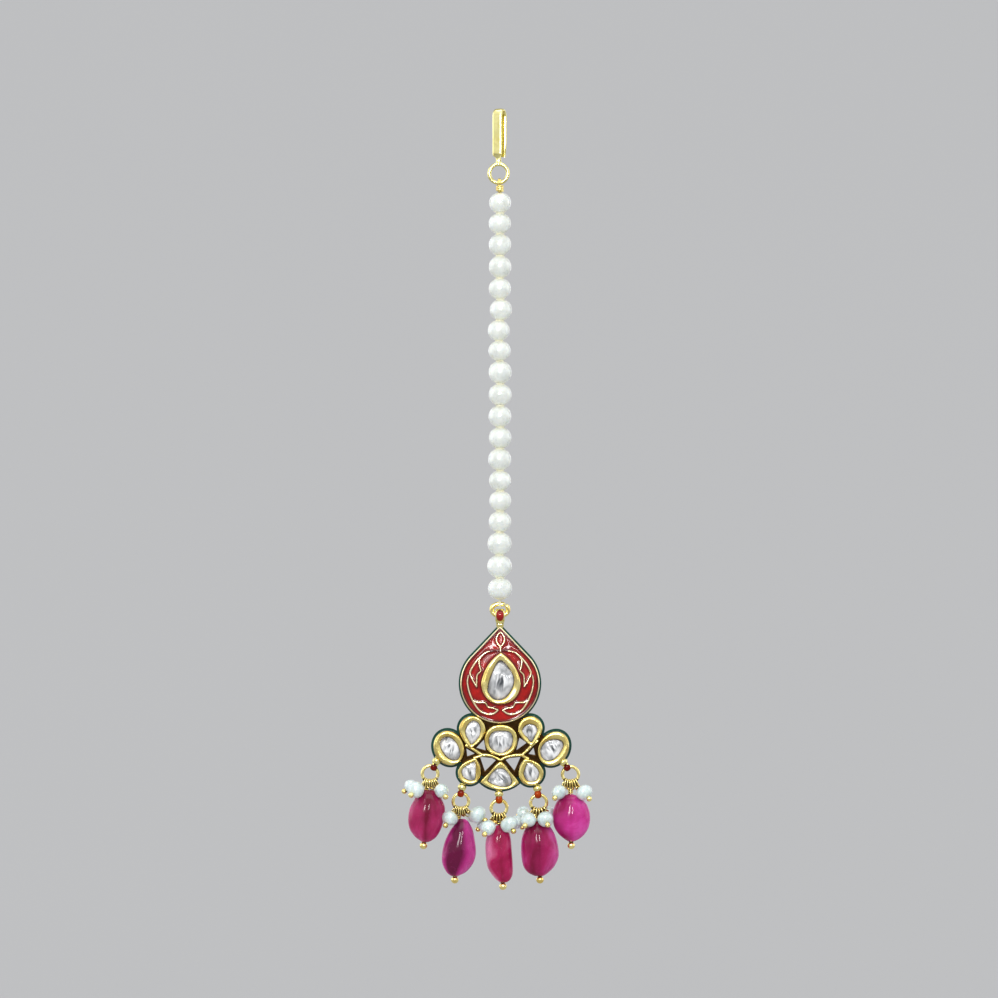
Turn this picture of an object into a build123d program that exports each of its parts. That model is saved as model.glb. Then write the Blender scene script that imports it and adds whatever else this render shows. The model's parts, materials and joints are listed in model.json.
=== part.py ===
"""Maang tikka: a forehead pendant that hangs from a hair hook on a string of pearls.

Millimetres. +Z is up and the jewel hangs down it; -Y is the side that faces out from the forehead, +X is
to the right as the jewel is seen. The origin is the inside top of the hair hook, where the hair carries it.

Pieces: a strap hook with a ring; a wired loop, a silk, nineteen pearls and an end ring; a gold pendant
with nine set stones, red and green enamel; and five drops, each a jump ring, a tumbled ruby bead on a
headed pin, and seed pearls on pins of their own.
"""

from build123d import *
from collections import namedtuple
import math
import os

PARTS = "parts"
GAP = 0.03  # between pieces that sit against each other

# ---------------------------------------------------------------- hair hook
HOOK_WIDTH = 1.75
HOOK_THICK = 0.62
HOOK_OPENING = 1.65  # between the two legs, where the hair goes
HOOK_LEG_END = -8.0  # foot of the front leg, where the neck starts
HOOK_TAIL_END = -8.45  # free end of the back leg
HOOK_TWIST = -22.0  # the bend is turned a little, so the back leg shows past the front one
HOOK_X = -0.5
HOOK_RING_X = -0.25
HOOK_RING_Z = -11.27
HOOK_RING_OUTER = 2.05
HOOK_RING_WIRE = 0.36  # wire radius
HOOK_NECK_WIDTH = 0.95
HOOK_NECK_LAP = 0.2  # how far the neck runs up into the strap
HOOK_NECK_INSET = 0.03  # how far it lies inside the strap's faces there

# ---------------------------------------------------------------- string of pearls
SWING_Z = HOOK_RING_Z - HOOK_RING_OUTER + HOOK_RING_WIRE  # centre of the hook ring's lowest wire
TOP_LOOP_WIRE = 0.18
TOP_LOOP_RADIUS = HOOK_RING_WIRE + TOP_LOOP_WIRE + 0.14
TOP_LOOP_X = -0.11
TOP_LOOP_SPREAD = 0.22  # the wire goes round twice, side by side
WRAP_TURNS = 3
WRAP_RADIUS = 0.66
WRAP_DROP = 0.5  # from the swing line down to the first wrap
WRAP_SOCKET = 0.5  # the silk goes this far up into the wraps
SILK_RADIUS = 0.26
SILK_BORE = 0.34
STRING_TOP = -14.75  # top of the first pearl

Pearl = namedtuple("Pearl", "height width aside")  # aside: how far off its middle it was drilled
PEARLS = [
    Pearl(3.74, 3.95, 0.02),
    Pearl(3.74, 4.00, -0.04),
    Pearl(3.90, 4.02, 0.00),
    Pearl(4.06, 4.02, 0.02),
    Pearl(3.82, 3.98, -0.03),
    Pearl(3.80, 3.96, 0.16),
    Pearl(3.66, 3.92, -0.24),
    Pearl(3.66, 4.00, -0.08),
    Pearl(4.14, 4.12, 0.04),
    Pearl(3.90, 4.10, 0.03),
    Pearl(3.90, 4.12, 0.00),
    Pearl(3.84, 4.06, 0.04),
    Pearl(3.98, 4.10, -0.05),
    Pearl(3.66, 3.98, 0.00),
    Pearl(3.66, 3.96, 0.06),
    Pearl(3.80, 4.02, -0.02),
    Pearl(4.14, 4.30, -0.08),
    Pearl(4.08, 4.42, -0.10),
    Pearl(4.02, 4.34, 0.00),
]

END_RING_WIRE = 0.42
END_RING_WIDTH = 3.8
END_RING_HEIGHT = 2.9
END_RING_DROP = 0.3  # room under the last pearl for the silk's own loop
SILK_LOOP_WIRE = 0.09
SILK_LOOP_RADIUS = END_RING_WIRE + SILK_LOOP_WIRE + 0.04

STRING_BOTTOM = STRING_TOP - sum(p.height + GAP for p in PEARLS)
END_RING_TOP = STRING_BOTTOM - END_RING_DROP
END_RING_UPPER_Z = END_RING_TOP - END_RING_WIRE  # centre of its top wire
PENDANT_SWING_Z = END_RING_TOP - END_RING_HEIGHT + END_RING_WIRE  # centre of its lowest wire

# ---------------------------------------------------------------- pendant
BAIL_WIDTH = 1.7
BAIL_HOLE = 0.62
BAIL_OUTER = 1.07
APEX_DROP = 2.1  # from the swing line down to the apex of the teardrop
APEX_Z = PENDANT_SWING_Z - APEX_DROP

BACK_Y = 0.9  # back of the gold
PLATE_FRONT_Y = 0.3  # front of the base plate, between the settings
BEZEL_FRONT_Y = -1.0
RIB_FRONT_Y = -0.75
RIB_WIDTH = 0.62
ENAMEL_BACK_Y = 1.4
EDGE_OUT = 0.45  # how far the green enamelled back stands out round the gold
CUT_FRONT_Y = -4.0  # ahead of everything, for cuts from the front
CUT_BACK_Y = 3.0  # behind everything
SOLDER_LAP = 0.1  # how far raised gold sinks into the plate
CORNER_GROWTH = 1.3  # how far a point moves out for each step of its sides
APEX_GROWTH = 1.5  # the same for the fan's steeper top

BAIL_NECK = (1.3, 1.64)  # its depth and height
BAIL_NECK_DROP = 1.3  # from the swing line down to the neck's middle
BAIL_TILE_WIDTH = 1.12
BAIL_TILE_SHARE = 0.72  # how much of a loop's height its enamel covers
LUG_TILE_SHARE = 0.8

DROP_RADIUS = 7.07
DROP_TIP = 10.3
DROP_RIM = 0.36
DOME_RADIUS = 40.0
DOME_TOP_Y = -1.7
ENAMEL_FLOOR_Y = -0.15
MAIN_BEZEL_FRONT_Y = -2.3
COLLAR_RISE = 0.32
COLLAR_INSET = 0.3
CROWN_RISE = 0.28  # the stone's slope, from girdle to table
CROWN_INSET = 0.34
STONE_SUNK = 0.12  # the table lies a little below the collar's face
POCKET_FLOOR_Y = 0.05

# x and z are the middle of the bulb or oval, z measured down from the teardrop's apex.
# radius and tip are the gold's, stone and stone_tip the stone's; lean is degrees clockwise from tip up.
# side is the radius of the bowed sides. An oval uses radius for its long half axis and tip for its short one.
Setting = namedtuple("Setting", "shape x z radius tip side stone stone_tip stone_dz lean")
SETTINGS = {
    "teardrop": Setting("drop", 0.20, -10.38, 3.64, 5.82, 8.0, 2.38, 4.35, -0.38, 0.0),
    "centre": Setting("oval", 0.22, -20.53, 2.88, 3.05, 0.0, 2.08, 2.25, -0.12, 0.0),
    "upper_left": Setting("drop", -5.00, -18.58, 2.44, 3.50, 6.0, 1.46, 2.40, 0.0, 186.0),
    "upper_right": Setting("drop", 5.47, -18.42, 2.25, 3.25, 6.0, 1.36, 2.15, -0.15, 176.0),
    "outer_left": Setting("oval", -9.27, -22.00, 3.20, 2.76, 0.0, 2.36, 1.91, 0.0, -22.0),
    "outer_right": Setting("oval", 9.71, -22.12, 3.28, 2.70, 0.0, 2.46, 1.82, 0.0, 32.0),
    "lower_left": Setting("drop", -5.53, -26.51, 2.12, 2.95, 5.0, 1.36, 1.95, 0.0, 23.0),
    "lower_right": Setting("drop", 5.60, -26.55, 2.30, 2.90, 5.0, 1.48, 2.00, 0.0, -25.0),
}

# The fan under the centre: apex, the height of its corners, their reach, and the foot of its curved hem.
Fan = namedtuple("Fan", "apex_z corner_z corner_x hem_z")
FAN_X = 0.15
FAN_GOLD = Fan(-24.35, -28.22, 3.42, -29.56)
FAN_STONE = Fan(-25.55, -27.96, 2.28, -28.88)

CLUSTER = [name for name in SETTINGS if name != "teardrop"] + ["fan"]

# Where the ribs of the openwork meet, and the windows cut between them, from the apex down.
LEFT_NODE = (-3.40, -23.11)
MIDDLE_NODE = (0.15, -24.07)
RIGHT_NODE = (4.25, -23.11)
RIBS = [
    (LEFT_NODE, (-1.45, -23.42), MIDDLE_NODE),
    (MIDDLE_NODE, (1.95, -23.40), RIGHT_NODE),
    (LEFT_NODE, (-4.20, -22.60), (-5.10, -22.05)),
    (RIGHT_NODE, (5.05, -22.50), (5.62, -21.60)),
    (LEFT_NODE, (-3.85, -23.50), (-4.35, -23.90)),
    (RIGHT_NODE, (4.40, -23.60), (4.45, -24.05)),
]
WINDOWS = [
    [(-4.30, -22.00), (-2.95, -20.55), (-2.62, -22.45)],
    [(3.55, -20.20), (4.85, -21.10), (2.98, -22.42)],
    [(-6.10, -22.15), (-4.60, -23.05), (-5.95, -23.55)],
    [(6.10, -22.00), (6.38, -23.30), (5.20, -23.12)],
    [(-3.62, -23.64), (-1.50, -23.88), (-0.75, -24.25), (-2.75, -26.25)],
    [(1.05, -24.22), (1.80, -23.88), (3.72, -23.68), (2.62, -26.15)],
]
# The gold between the settings: a plate whose corners lie under them.
PLATE_CORNERS = [
    (-5.0, -16.6), (5.4, -16.6), (9.5, -22.1), (5.6, -26.6), (0.2, -28.0), (-5.5, -26.5), (-9.2, -22.0),
]

# ---------------------------------------------------------------- drops
LUG_WIDTH = 1.05
LUG_HOLE = 0.42
LUG_OUTER = 0.8
LUG_SHANK = 1.9  # reach of the shank into the frame
SHANK_DEPTH = 1.5  # a shank's depth, over the outer radius of its loop
LUG_TILE_WIDTH = 0.735
LUG_CLEARANCE = 0.1  # round a lug, in the enamelled back
RING_WIRE = 0.21
RING_RADIUS = 1.44  # to the middle of the wire
RING_SLACK = 0.12  # the ring hangs this far below the middle of the lug's hole
PIN_WIRE = 0.11
PIN_LOOP = 0.44
PIN_WRAP = 0.24  # radius of the wire wrapped under each loop
RUBY_WRAP = 0.34
PIN_BORE = 0.17
RUBY_BORE = 0.24
SEED_SQUAT = 0.93  # a seed pearl's length along its pin, over its width
SEED_WRAP = 0.6  # longest wrapped neck on a seed pearl's pin
SEED_HEAD = 0.42  # ball at the foot of a seed pearl's pin
RUBY_HEAD = 0.68
TILE_DEPTH = 0.14  # enamel let into the front of a lug or the bail

# A ruby's outline: how far it swells left and right of its pin, where along it each swell is widest,
# how full the swells are, and its depth. below: from the pin's loop down to the bead.
Ruby = namedtuple("Ruby", "below length left right left_peak right_peak left_full right_full deep")
# A seed pearl: angle round the ring of its loop, then its middle from the ring's middle, and its radius.
Seed = namedtuple("Seed", "angle x y z radius")
# lug: x and z from the apex, tilt; hang: lean of the ring; pin: angle of the ruby's loop, lean of the pin.
Drop = namedtuple("Drop", "x z tilt hang pin_angle pin_lean ruby seeds")
DROPS = [
    Drop(-11.95, -25.36, -23.0, -29.0, 0.0, -6.3,
         Ruby(1.60, 8.85, 3.42, 3.10, 0.44, 0.44, 0.56, 0.56, 2.30),
         [Seed(-62.0, -2.55, -2.25, -2.75, 1.42), Seed(-88.0, -3.45, 0.60, -2.35, 1.20),
          Seed(42.0, 2.10, -1.65, -3.00, 1.24)]),
    Drop(-7.11, -30.15, -12.0, 0.0, 12.0, -6.3,
         Ruby(1.70, 10.00, 2.95, 3.15, 0.56, 0.60, 0.70, 0.70, 2.30),
         [Seed(-58.0, -1.98, -1.20, -3.05, 1.30), Seed(62.0, 3.05, -0.60, -2.35, 1.40),
          Seed(38.0, 2.15, 1.95, -2.70, 1.15)]),
    Drop(-0.18, -31.36, 0.0, 0.0, 3.0, 2.0,
         Ruby(1.60, 10.30, 2.60, 1.95, 0.48, 0.62, 0.66, 0.46, 2.05),
         [Seed(-42.0, -1.98, -2.25, -3.50, 1.32), Seed(-70.0, -2.85, 1.05, -2.95, 1.14),
          Seed(34.0, 1.88, -1.50, -2.90, 1.38), Seed(62.0, 3.12, 0.90, -2.65, 1.16)]),
    Drop(6.89, -30.40, 5.0, 5.0, -10.0, 2.2,
         Ruby(1.70, 9.70, 3.05, 3.60, 0.50, 0.52, 0.56, 0.64, 2.40),
         [Seed(-45.0, -1.85, -1.95, -3.02, 1.28), Seed(-75.0, -2.75, 2.10, -1.95, 1.20),
          Seed(22.0, 1.22, -2.10, -2.90, 1.28), Seed(55.0, 1.85, 1.65, -1.80, 1.10)]),
    Drop(12.11, -25.42, 34.0, 27.0, -13.0, 2.6,
         Ruby(2.15, 8.30, 3.20, 3.70, 0.42, 0.46, 0.56, 0.58, 2.45),
         [Seed(-52.0, -2.15, -1.80, -3.12, 1.26), Seed(48.0, 2.48, -1.65, -3.18, 1.34)]),
]
RUBY_SECTIONS = [0.0, 0.05, 0.14, 0.30, 0.50, 0.70, 0.86, 0.95, 1.0]
RUBY_END = 0.62  # half width of the bead's drilled ends


def front_plane(y):
    """The plane across the jewel at a depth, drawn as it is seen from the front."""
    return Plane(origin=(0, y, 0), x_dir=(1, 0, 0), z_dir=(0, -1, 0))


def slab(outline, back_y, front_y, taper=0.0):
    """A flat piece between two depths, narrowing towards the front by the taper angle."""
    return extrude(front_plane(back_y) * outline, amount=back_y - front_y, taper=taper)


def save(node, shape):
    """Writes one sub-part."""
    export_step(shape, os.path.join(PARTS, node + ".step"))


def across(radius, width):
    """A cylinder lying along X."""
    return Rot(0, 90, 0) * Cylinder(radius, width)


def leaning(angle):
    """Turns a piece that points straight down so that its foot swings right by the angle."""
    return Rot(0, -angle, 0)


# ---------------------------------------------------------------- outlines
def drop_outline(radius, tip, side):
    """A teardrop with its tip up: a round bulb, and sides straight (side 0) or bowed to a radius."""
    if side:
        reach = side - radius
        lean = math.asin((side**2 - tip**2 - reach**2) / (2 * tip * reach))
        middle = Vector(-reach * math.cos(lean), -reach * math.sin(lean))
        halfway = (math.asin((tip - middle.Y) / side) + lean) / 2
        bow = (middle.X + side * math.cos(halfway), middle.Y + side * math.sin(halfway))
        touch = (radius * math.cos(lean), radius * math.sin(lean))
        sides = [
            ThreePointArc((0, tip), bow, touch),
            ThreePointArc((-touch[0], touch[1]), (-bow[0], bow[1]), (0, tip)),
        ]
    else:
        lean = math.asin(radius / tip)
        touch = (radius * math.cos(lean), radius * math.sin(lean))
        sides = [Line((0, tip), touch), Line((-touch[0], touch[1]), (0, tip))]
    bulb = ThreePointArc(touch, (0, -radius), (-touch[0], touch[1]))
    return make_face([sides[0], bulb, sides[1]])


def fan_outline(fan, margin=0.0):
    """A three-cornered outline with a curved hem."""
    reach = fan.corner_x + CORNER_GROWTH * margin
    left, right = (-reach, fan.corner_z), (reach, fan.corner_z)
    apex = (FAN_X, fan.apex_z + APEX_GROWTH * margin)
    hem = ThreePointArc(right, (0, fan.hem_z - margin), left)
    return make_face([Line(left, apex), Line(apex, right), hem])


def setting_outline(name, gold, margin=0.0):
    """The outline of a setting's gold or of its stone, in its place below the apex."""
    if name == "fan":
        return fan_outline(FAN_GOLD if gold else FAN_STONE, margin)
    s = SETTINGS[name]
    radius, tip = (s.radius, s.tip) if gold else (s.stone, s.stone_tip)
    radius, tip = radius + margin, tip + margin
    shape = drop_outline(radius, tip, s.side) if s.shape == "drop" else Ellipse(tip, radius)
    lift = 0.0 if gold else s.stone_dz
    return Pos(s.x, s.z + lift) * Rot(0, 0, -s.lean) * shape


def main_outline(margin=0.0):
    """The teardrop body's outline, tip at the apex."""
    return Pos(0, -DROP_TIP) * drop_outline(DROP_RADIUS + margin, DROP_TIP + CORNER_GROWTH * margin, 0.0)


# ---------------------------------------------------------------- hair hook
def make_hook():
    """One soldered piece: a strap bent over into a hook, a neck, and a ring."""
    bend_out = HOOK_OPENING / 2 + HOOK_THICK
    half = HOOK_THICK / 2
    bend_y = half + HOOK_OPENING / 2
    bend_z = -HOOK_OPENING / 2
    profile = Pos(bend_y, bend_z) * (Circle(bend_out) - Circle(HOOK_OPENING / 2))
    profile &= Pos(bend_y, bend_z + bend_out) * Rectangle(4 * bend_out, 2 * bend_out)
    front_leg = Pos(0, (bend_z + HOOK_LEG_END) / 2) * Rectangle(HOOK_THICK, bend_z - HOOK_LEG_END)
    tail_length = bend_z - HOOK_TAIL_END - half
    tail_y = HOOK_OPENING + HOOK_THICK
    tail = Pos(tail_y, bend_z - tail_length / 2) * Rectangle(HOOK_THICK, tail_length)
    tail += Pos(tail_y, HOOK_TAIL_END + half) * Circle(half)
    side_plane = Plane(origin=(-HOOK_WIDTH / 2, 0, 0), x_dir=(0, 1, 0), z_dir=(1, 0, 0))
    strap = extrude(side_plane * (profile + front_leg + tail), amount=HOOK_WIDTH)
    strap = Pos(HOOK_X, 0, 0) * Rot(0, 0, HOOK_TWIST) * strap
    within = 2 * HOOK_NECK_INSET
    foot = Pos(HOOK_X, 0) * Rot(0, 0, HOOK_TWIST) * Rectangle(HOOK_WIDTH - within, HOOK_THICK - within)
    collar = Pos(HOOK_RING_X, 0) * Rectangle(HOOK_NECK_WIDTH, HOOK_THICK)
    neck_top = HOOK_LEG_END + HOOK_NECK_LAP
    neck_foot = HOOK_RING_Z + HOOK_RING_OUTER - HOOK_RING_WIRE
    neck = loft([Plane.XY.offset(neck_top) * foot, Plane.XY.offset(neck_foot) * collar])
    ring = Rot(90, 0, 0) * Torus(HOOK_RING_OUTER - HOOK_RING_WIRE, HOOK_RING_WIRE)
    return strap + neck + Pos(HOOK_RING_X, 0, HOOK_RING_Z) * ring


# ---------------------------------------------------------------- string of pearls
def make_top_loop():
    """The wire that ties the string to the hook's ring: two turns round it and a wrapped barrel below."""
    ring = Rot(0, 90, 0) * Torus(TOP_LOOP_RADIUS, TOP_LOOP_WIRE)
    loop = Pos(TOP_LOOP_X - TOP_LOOP_SPREAD, 0, SWING_Z) * ring
    loop += Pos(TOP_LOOP_X + TOP_LOOP_SPREAD, 0, SWING_Z) * ring
    barrel_top = SWING_Z - WRAP_DROP
    barrel_length = 2 * TOP_LOOP_WIRE * WRAP_TURNS
    barrel = Pos(0, 0, barrel_top - barrel_length / 2) * Cylinder(WRAP_RADIUS - TOP_LOOP_WIRE, barrel_length)
    for turn in range(WRAP_TURNS):
        z = barrel_top - TOP_LOOP_WIRE * (2 * turn + 1)
        barrel += Pos(0, 0, z) * Torus(WRAP_RADIUS - TOP_LOOP_WIRE, TOP_LOOP_WIRE)
    socket = Pos(0, 0, barrel_top - barrel_length + WRAP_SOCKET / 2) * Cylinder(SILK_BORE, WRAP_SOCKET)
    return loop + barrel - socket


def make_silk():
    """The silk: a straight core through the pearls, ending in a loop round the end ring."""
    top = SWING_Z - WRAP_DROP - 2 * TOP_LOOP_WIRE * WRAP_TURNS + WRAP_SOCKET - GAP
    bottom = END_RING_UPPER_Z + SILK_LOOP_RADIUS
    core = Pos(0, 0, (top + bottom) / 2) * Cylinder(SILK_RADIUS, top - bottom)
    loop = Pos(0, 0, END_RING_UPPER_Z) * Rot(0, 90, 0) * Torus(SILK_LOOP_RADIUS, SILK_LOOP_WIRE)
    return core + loop


def make_pearls():
    """Nineteen drilled pearls, from the top, each a little out of round."""
    pearls = []
    top = STRING_TOP
    for p in PEARLS:
        half = Ellipse(p.width / 2, p.height / 2) & Pos(p.width, 0) * Rectangle(2 * p.width, 2 * p.height)
        body = revolve(Plane.XZ * half, Axis.Z)
        bore = Cylinder(SILK_BORE, 2 * p.height)
        pearls.append(Pos(0, 0, top - p.height / 2) * (Pos(p.aside, 0, 0) * body - bore))
        top -= p.height + GAP
    return pearls


def make_end_ring():
    """The oval ring at the foot of the string."""
    turn = END_RING_HEIGHT / 2 - END_RING_WIRE
    straight = END_RING_WIDTH - END_RING_HEIGHT
    middle_z = (END_RING_UPPER_Z + PENDANT_SWING_Z) / 2
    top = Pos(0, 0, turn) * across(END_RING_WIRE, straight)
    bottom = Pos(0, 0, -turn) * across(END_RING_WIRE, straight)
    hoop = Rot(90, 0, 0) * Torus(turn, END_RING_WIRE)
    side = Box(2 * END_RING_WIDTH, 2 * END_RING_WIDTH, 2 * END_RING_WIDTH)
    right = Pos(straight / 2, 0, 0) * (hoop & Pos(END_RING_WIDTH, 0, 0) * side)
    left = Pos(-straight / 2, 0, 0) * (hoop & Pos(-END_RING_WIDTH, 0, 0) * side)
    return Pos(0, 0, middle_z) * (top + bottom + right + left)


# ---------------------------------------------------------------- pendant
def strap_loop(outer, hole, width, shank_up):
    """An upright strap loop whose hole runs along X, with a shank that reaches up to the frame."""
    loop = across(outer, width)
    if shank_up:
        loop += Pos(0, 0, shank_up / 2) * Box(width, SHANK_DEPTH * outer, shank_up)
    return loop - across(hole, 2 * width)


def enamel_tile(outer, width, share, grow=0.0):
    """Enamel let into the front of a strap loop: a curved tile, or with grow the socket cut for it."""
    skin = outer + LUG_OUTER if grow else outer
    tile = across(skin, width + grow) - across(outer - TILE_DEPTH - grow, 2 * width)
    reach = 2 * outer * share + grow
    return tile & Pos(0, -2 * outer, 0) * Box(2 * width, 4 * outer, reach)


def lug_place(drop):
    """Where a lug stands: its hole's middle, tilted."""
    return Pos(drop.x, 0, drop.z) * leaning(drop.tilt)


def bail_place():
    """Where the bail stands, measured from the apex."""
    return Pos(0, 0, APEX_DROP)


def dome(extra=0.0):
    """The ball whose surface is the teardrop's domed front."""
    return Pos(0, DOME_TOP_Y + DOME_RADIUS, -DROP_TIP) * Sphere(DOME_RADIUS + extra)


def windows():
    """The openwork's three-cornered windows."""
    return Sketch() + [make_face(Polyline(*corners, close=True)) for corners in WINDOWS]


def silhouette(margin):
    """The whole pendant's outline, settings and body together, less the windows."""
    outline = main_outline(margin) + make_face(Polyline(*PLATE_CORNERS, close=True))
    for name in CLUSTER:
        outline += setting_outline(name, True, margin)
    return outline - windows()


def bevelled(name, gold, back_y, front_y, rise, inset):
    """A setting's gold or stone: upright sides, and a slope of a given rise up to a flat face."""
    shoulder = front_y + rise
    foot = front_plane(shoulder) * setting_outline(name, gold)
    face = front_plane(front_y) * setting_outline(name, gold, -inset)
    return slab(setting_outline(name, gold), back_y, shoulder) + loft([foot, face])


def setting_front(name):
    """How far forward a setting's collar stands."""
    return MAIN_BEZEL_FRONT_Y if name == "teardrop" else BEZEL_FRONT_Y


def collar(name):
    """A setting's raised gold collar, before the stone's pocket is cut."""
    return bevelled(name, True, PLATE_FRONT_Y + SOLDER_LAP, setting_front(name), COLLAR_RISE, COLLAR_INSET)


def make_frame():
    """All the gold of the pendant: body, base plate, collars, ribs, bail and lugs, soldered as one."""
    body = slab(main_outline(), BACK_Y, CUT_FRONT_Y) & dome(GAP)
    field = main_outline(-DROP_RIM) - setting_outline("teardrop", True)
    body -= slab(field, ENAMEL_FLOOR_Y, CUT_FRONT_Y)
    frame = slab(silhouette(0.0), BACK_Y, PLATE_FRONT_Y) + body
    for name in ["teardrop"] + CLUSTER:
        frame += collar(name)
    for start, through, end in RIBS:
        rib = trace(ThreePointArc(start, through, end), RIB_WIDTH)
        frame += slab(rib, PLATE_FRONT_Y + SOLDER_LAP, RIB_FRONT_Y)
    frame -= slab(windows(), CUT_BACK_Y, CUT_FRONT_Y)
    for name in ["teardrop"] + CLUSTER:
        frame -= slab(setting_outline(name, False, GAP), POCKET_FLOOR_Y, CUT_FRONT_Y)

    bail = strap_loop(BAIL_OUTER, BAIL_HOLE, BAIL_WIDTH, 0)
    neck = Pos(0, 0, -BAIL_NECK_DROP) * Box(BAIL_WIDTH, *BAIL_NECK)
    bail += neck - across(BAIL_HOLE, 2 * BAIL_WIDTH)
    bail -= enamel_tile(BAIL_OUTER, BAIL_TILE_WIDTH, BAIL_TILE_SHARE, GAP)
    frame += bail_place() * bail
    for drop in DROPS:
        lug = strap_loop(LUG_OUTER, LUG_HOLE, LUG_WIDTH, LUG_SHANK)
        lug -= enamel_tile(LUG_OUTER, LUG_TILE_WIDTH, LUG_TILE_SHARE, GAP)
        frame += lug_place(drop) * lug
    return frame


def make_stone(name):
    """A flat-cut stone: an upright girdle, and a sloping crown up to a flat table."""
    front_y = setting_front(name) + STONE_SUNK
    return bevelled(name, False, POCKET_FLOOR_Y - GAP, front_y, CROWN_RISE, CROWN_INSET)


def make_red_enamel():
    """The teardrop's domed red field, round the main stone's collar."""
    field = main_outline(-DROP_RIM - GAP) - setting_outline("teardrop", True, GAP)
    return slab(field, ENAMEL_FLOOR_Y - GAP, CUT_FRONT_Y) & dome()


def make_green_enamel():
    """The enamelled back, standing out round the gold, with the openwork's windows."""
    back = slab(silhouette(EDGE_OUT), ENAMEL_BACK_Y, BACK_Y + GAP)
    for drop in DROPS:
        back -= lug_place(drop) * across(LUG_OUTER + LUG_CLEARANCE, 2 * LUG_WIDTH)
        shank_depth = SHANK_DEPTH * LUG_OUTER + LUG_CLEARANCE
        back -= lug_place(drop) * Box(LUG_WIDTH + LUG_CLEARANCE, shank_depth, 2 * LUG_SHANK)
    return back


# ---------------------------------------------------------------- drops
def ring_middle(drop):
    """The middle of a drop's jump ring, from the apex."""
    reach = RING_RADIUS + RING_SLACK
    angle = math.radians(drop.hang)
    return Vector(drop.x + reach * math.sin(angle), 0, drop.z - reach * math.cos(angle))


def on_ring(drop, angle):
    """A point on the middle of the ring's wire, at an angle from its foot towards the right."""
    turn = math.radians(angle)
    return ring_middle(drop) + Vector(RING_RADIUS * math.sin(turn), 0, -RING_RADIUS * math.cos(turn))


def pin(start, tangent, foot, wrap_radius, wrap_length, head_radius):
    """A headed pin: a loop round the ring at start, a wrapped neck, a straight wire, and a ball at the foot."""
    along = (foot - start).normalized()
    across_pin = (tangent - along * tangent.dot(along)).normalized()
    length = (foot - start).length
    frame = Plane(origin=start, x_dir=across_pin, z_dir=along)
    loop = Rot(0, 90, 0) * Torus(PIN_LOOP, PIN_WIRE)
    wire = Pos(0, 0, (PIN_LOOP + length) / 2) * Cylinder(PIN_WIRE, length - PIN_LOOP)
    wrap = Pos(0, 0, PIN_LOOP + PIN_WIRE + wrap_length / 2) * Cylinder(wrap_radius, wrap_length)
    ball = Pos(0, 0, length) * Sphere(head_radius)
    return frame.location * (loop + wire + wrap + ball)


def ring_tangent(angle):
    """The direction of the ring's wire at an angle from its foot."""
    turn = math.radians(angle)
    return Vector(math.cos(turn), 0, math.sin(turn))


def swell(t, size, peak, full):
    """How far a tumbled bead stands out from its pin, at a share t of its length."""
    bend = math.log(0.5) / math.log(peak)
    return RUBY_END + (size - RUBY_END) * math.sin(math.pi * t**bend) ** full


def make_ruby(drop):
    """A tumbled bead, lofted through ovals along its pin, with the pin's bore."""
    r = drop.ruby
    ovals = []
    for t in RUBY_SECTIONS:
        left = swell(t, r.left, r.left_peak, r.left_full)
        right = swell(t, r.right, r.right_peak, r.right_full)
        deep = swell(t, r.deep, (r.left_peak + r.right_peak) / 2, r.right_full)
        z = -r.below - t * r.length
        ovals.append(Plane.XY.offset(z) * Pos((right - left) / 2, 0) * Ellipse((left + right) / 2, deep))
    bore = Pos(0, 0, -r.below - r.length / 2) * Cylinder(RUBY_BORE, 2 * r.length)
    place = Pos(*on_ring(drop, drop.pin_angle)) * leaning(drop.pin_lean)
    return place * (loft(ovals) - bore)


def ruby_pin(drop):
    """The pin that carries a ruby bead."""
    start = on_ring(drop, drop.pin_angle)
    lean = math.radians(drop.pin_lean)
    reach = drop.ruby.below + drop.ruby.length + RUBY_HEAD + GAP
    foot = start + Vector(reach * math.sin(lean), 0, -reach * math.cos(lean))
    wrap_length = drop.ruby.below - PIN_LOOP - PIN_WIRE - GAP
    return pin(start, ring_tangent(drop.pin_angle), foot, RUBY_WRAP, wrap_length, RUBY_HEAD)


def seed_line(drop, seed):
    """Where a seed pearl's pin starts on the ring, the pearl's middle, and the pin's direction."""
    start = on_ring(drop, seed.angle)
    middle = ring_middle(drop) + Vector(seed.x, seed.y, seed.z)
    return start, middle, (middle - start).normalized()


def make_seed(drop, seed):
    """A small drilled pearl, slightly flattened along its pin."""
    _, middle, along = seed_line(drop, seed)
    reach = 2 * seed.radius
    half = Ellipse(seed.radius, seed.radius * SEED_SQUAT) & Pos(reach, 0) * Rectangle(2 * reach, 2 * reach)
    body = revolve(Plane.XZ * half, Axis.Z) - Cylinder(PIN_BORE, 4 * seed.radius)
    return Plane(origin=middle, z_dir=along).location * body


def seed_pin(drop, seed):
    """The pin that carries a seed pearl."""
    start, middle, along = seed_line(drop, seed)
    foot = middle + along * (seed.radius * SEED_SQUAT + SEED_HEAD + GAP / 2)
    wrap_length = (middle - start).length - seed.radius * SEED_SQUAT - PIN_LOOP - PIN_WIRE - GAP
    wrap_length = min(wrap_length, SEED_WRAP)
    return pin(start, ring_tangent(seed.angle), foot, PIN_WRAP, wrap_length, SEED_HEAD)


def make_jump_ring(drop):
    """A closed ring through the frame's lug."""
    return Pos(*ring_middle(drop)) * Rot(90, 0, 0) * Torus(RING_RADIUS, RING_WIRE)


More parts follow.
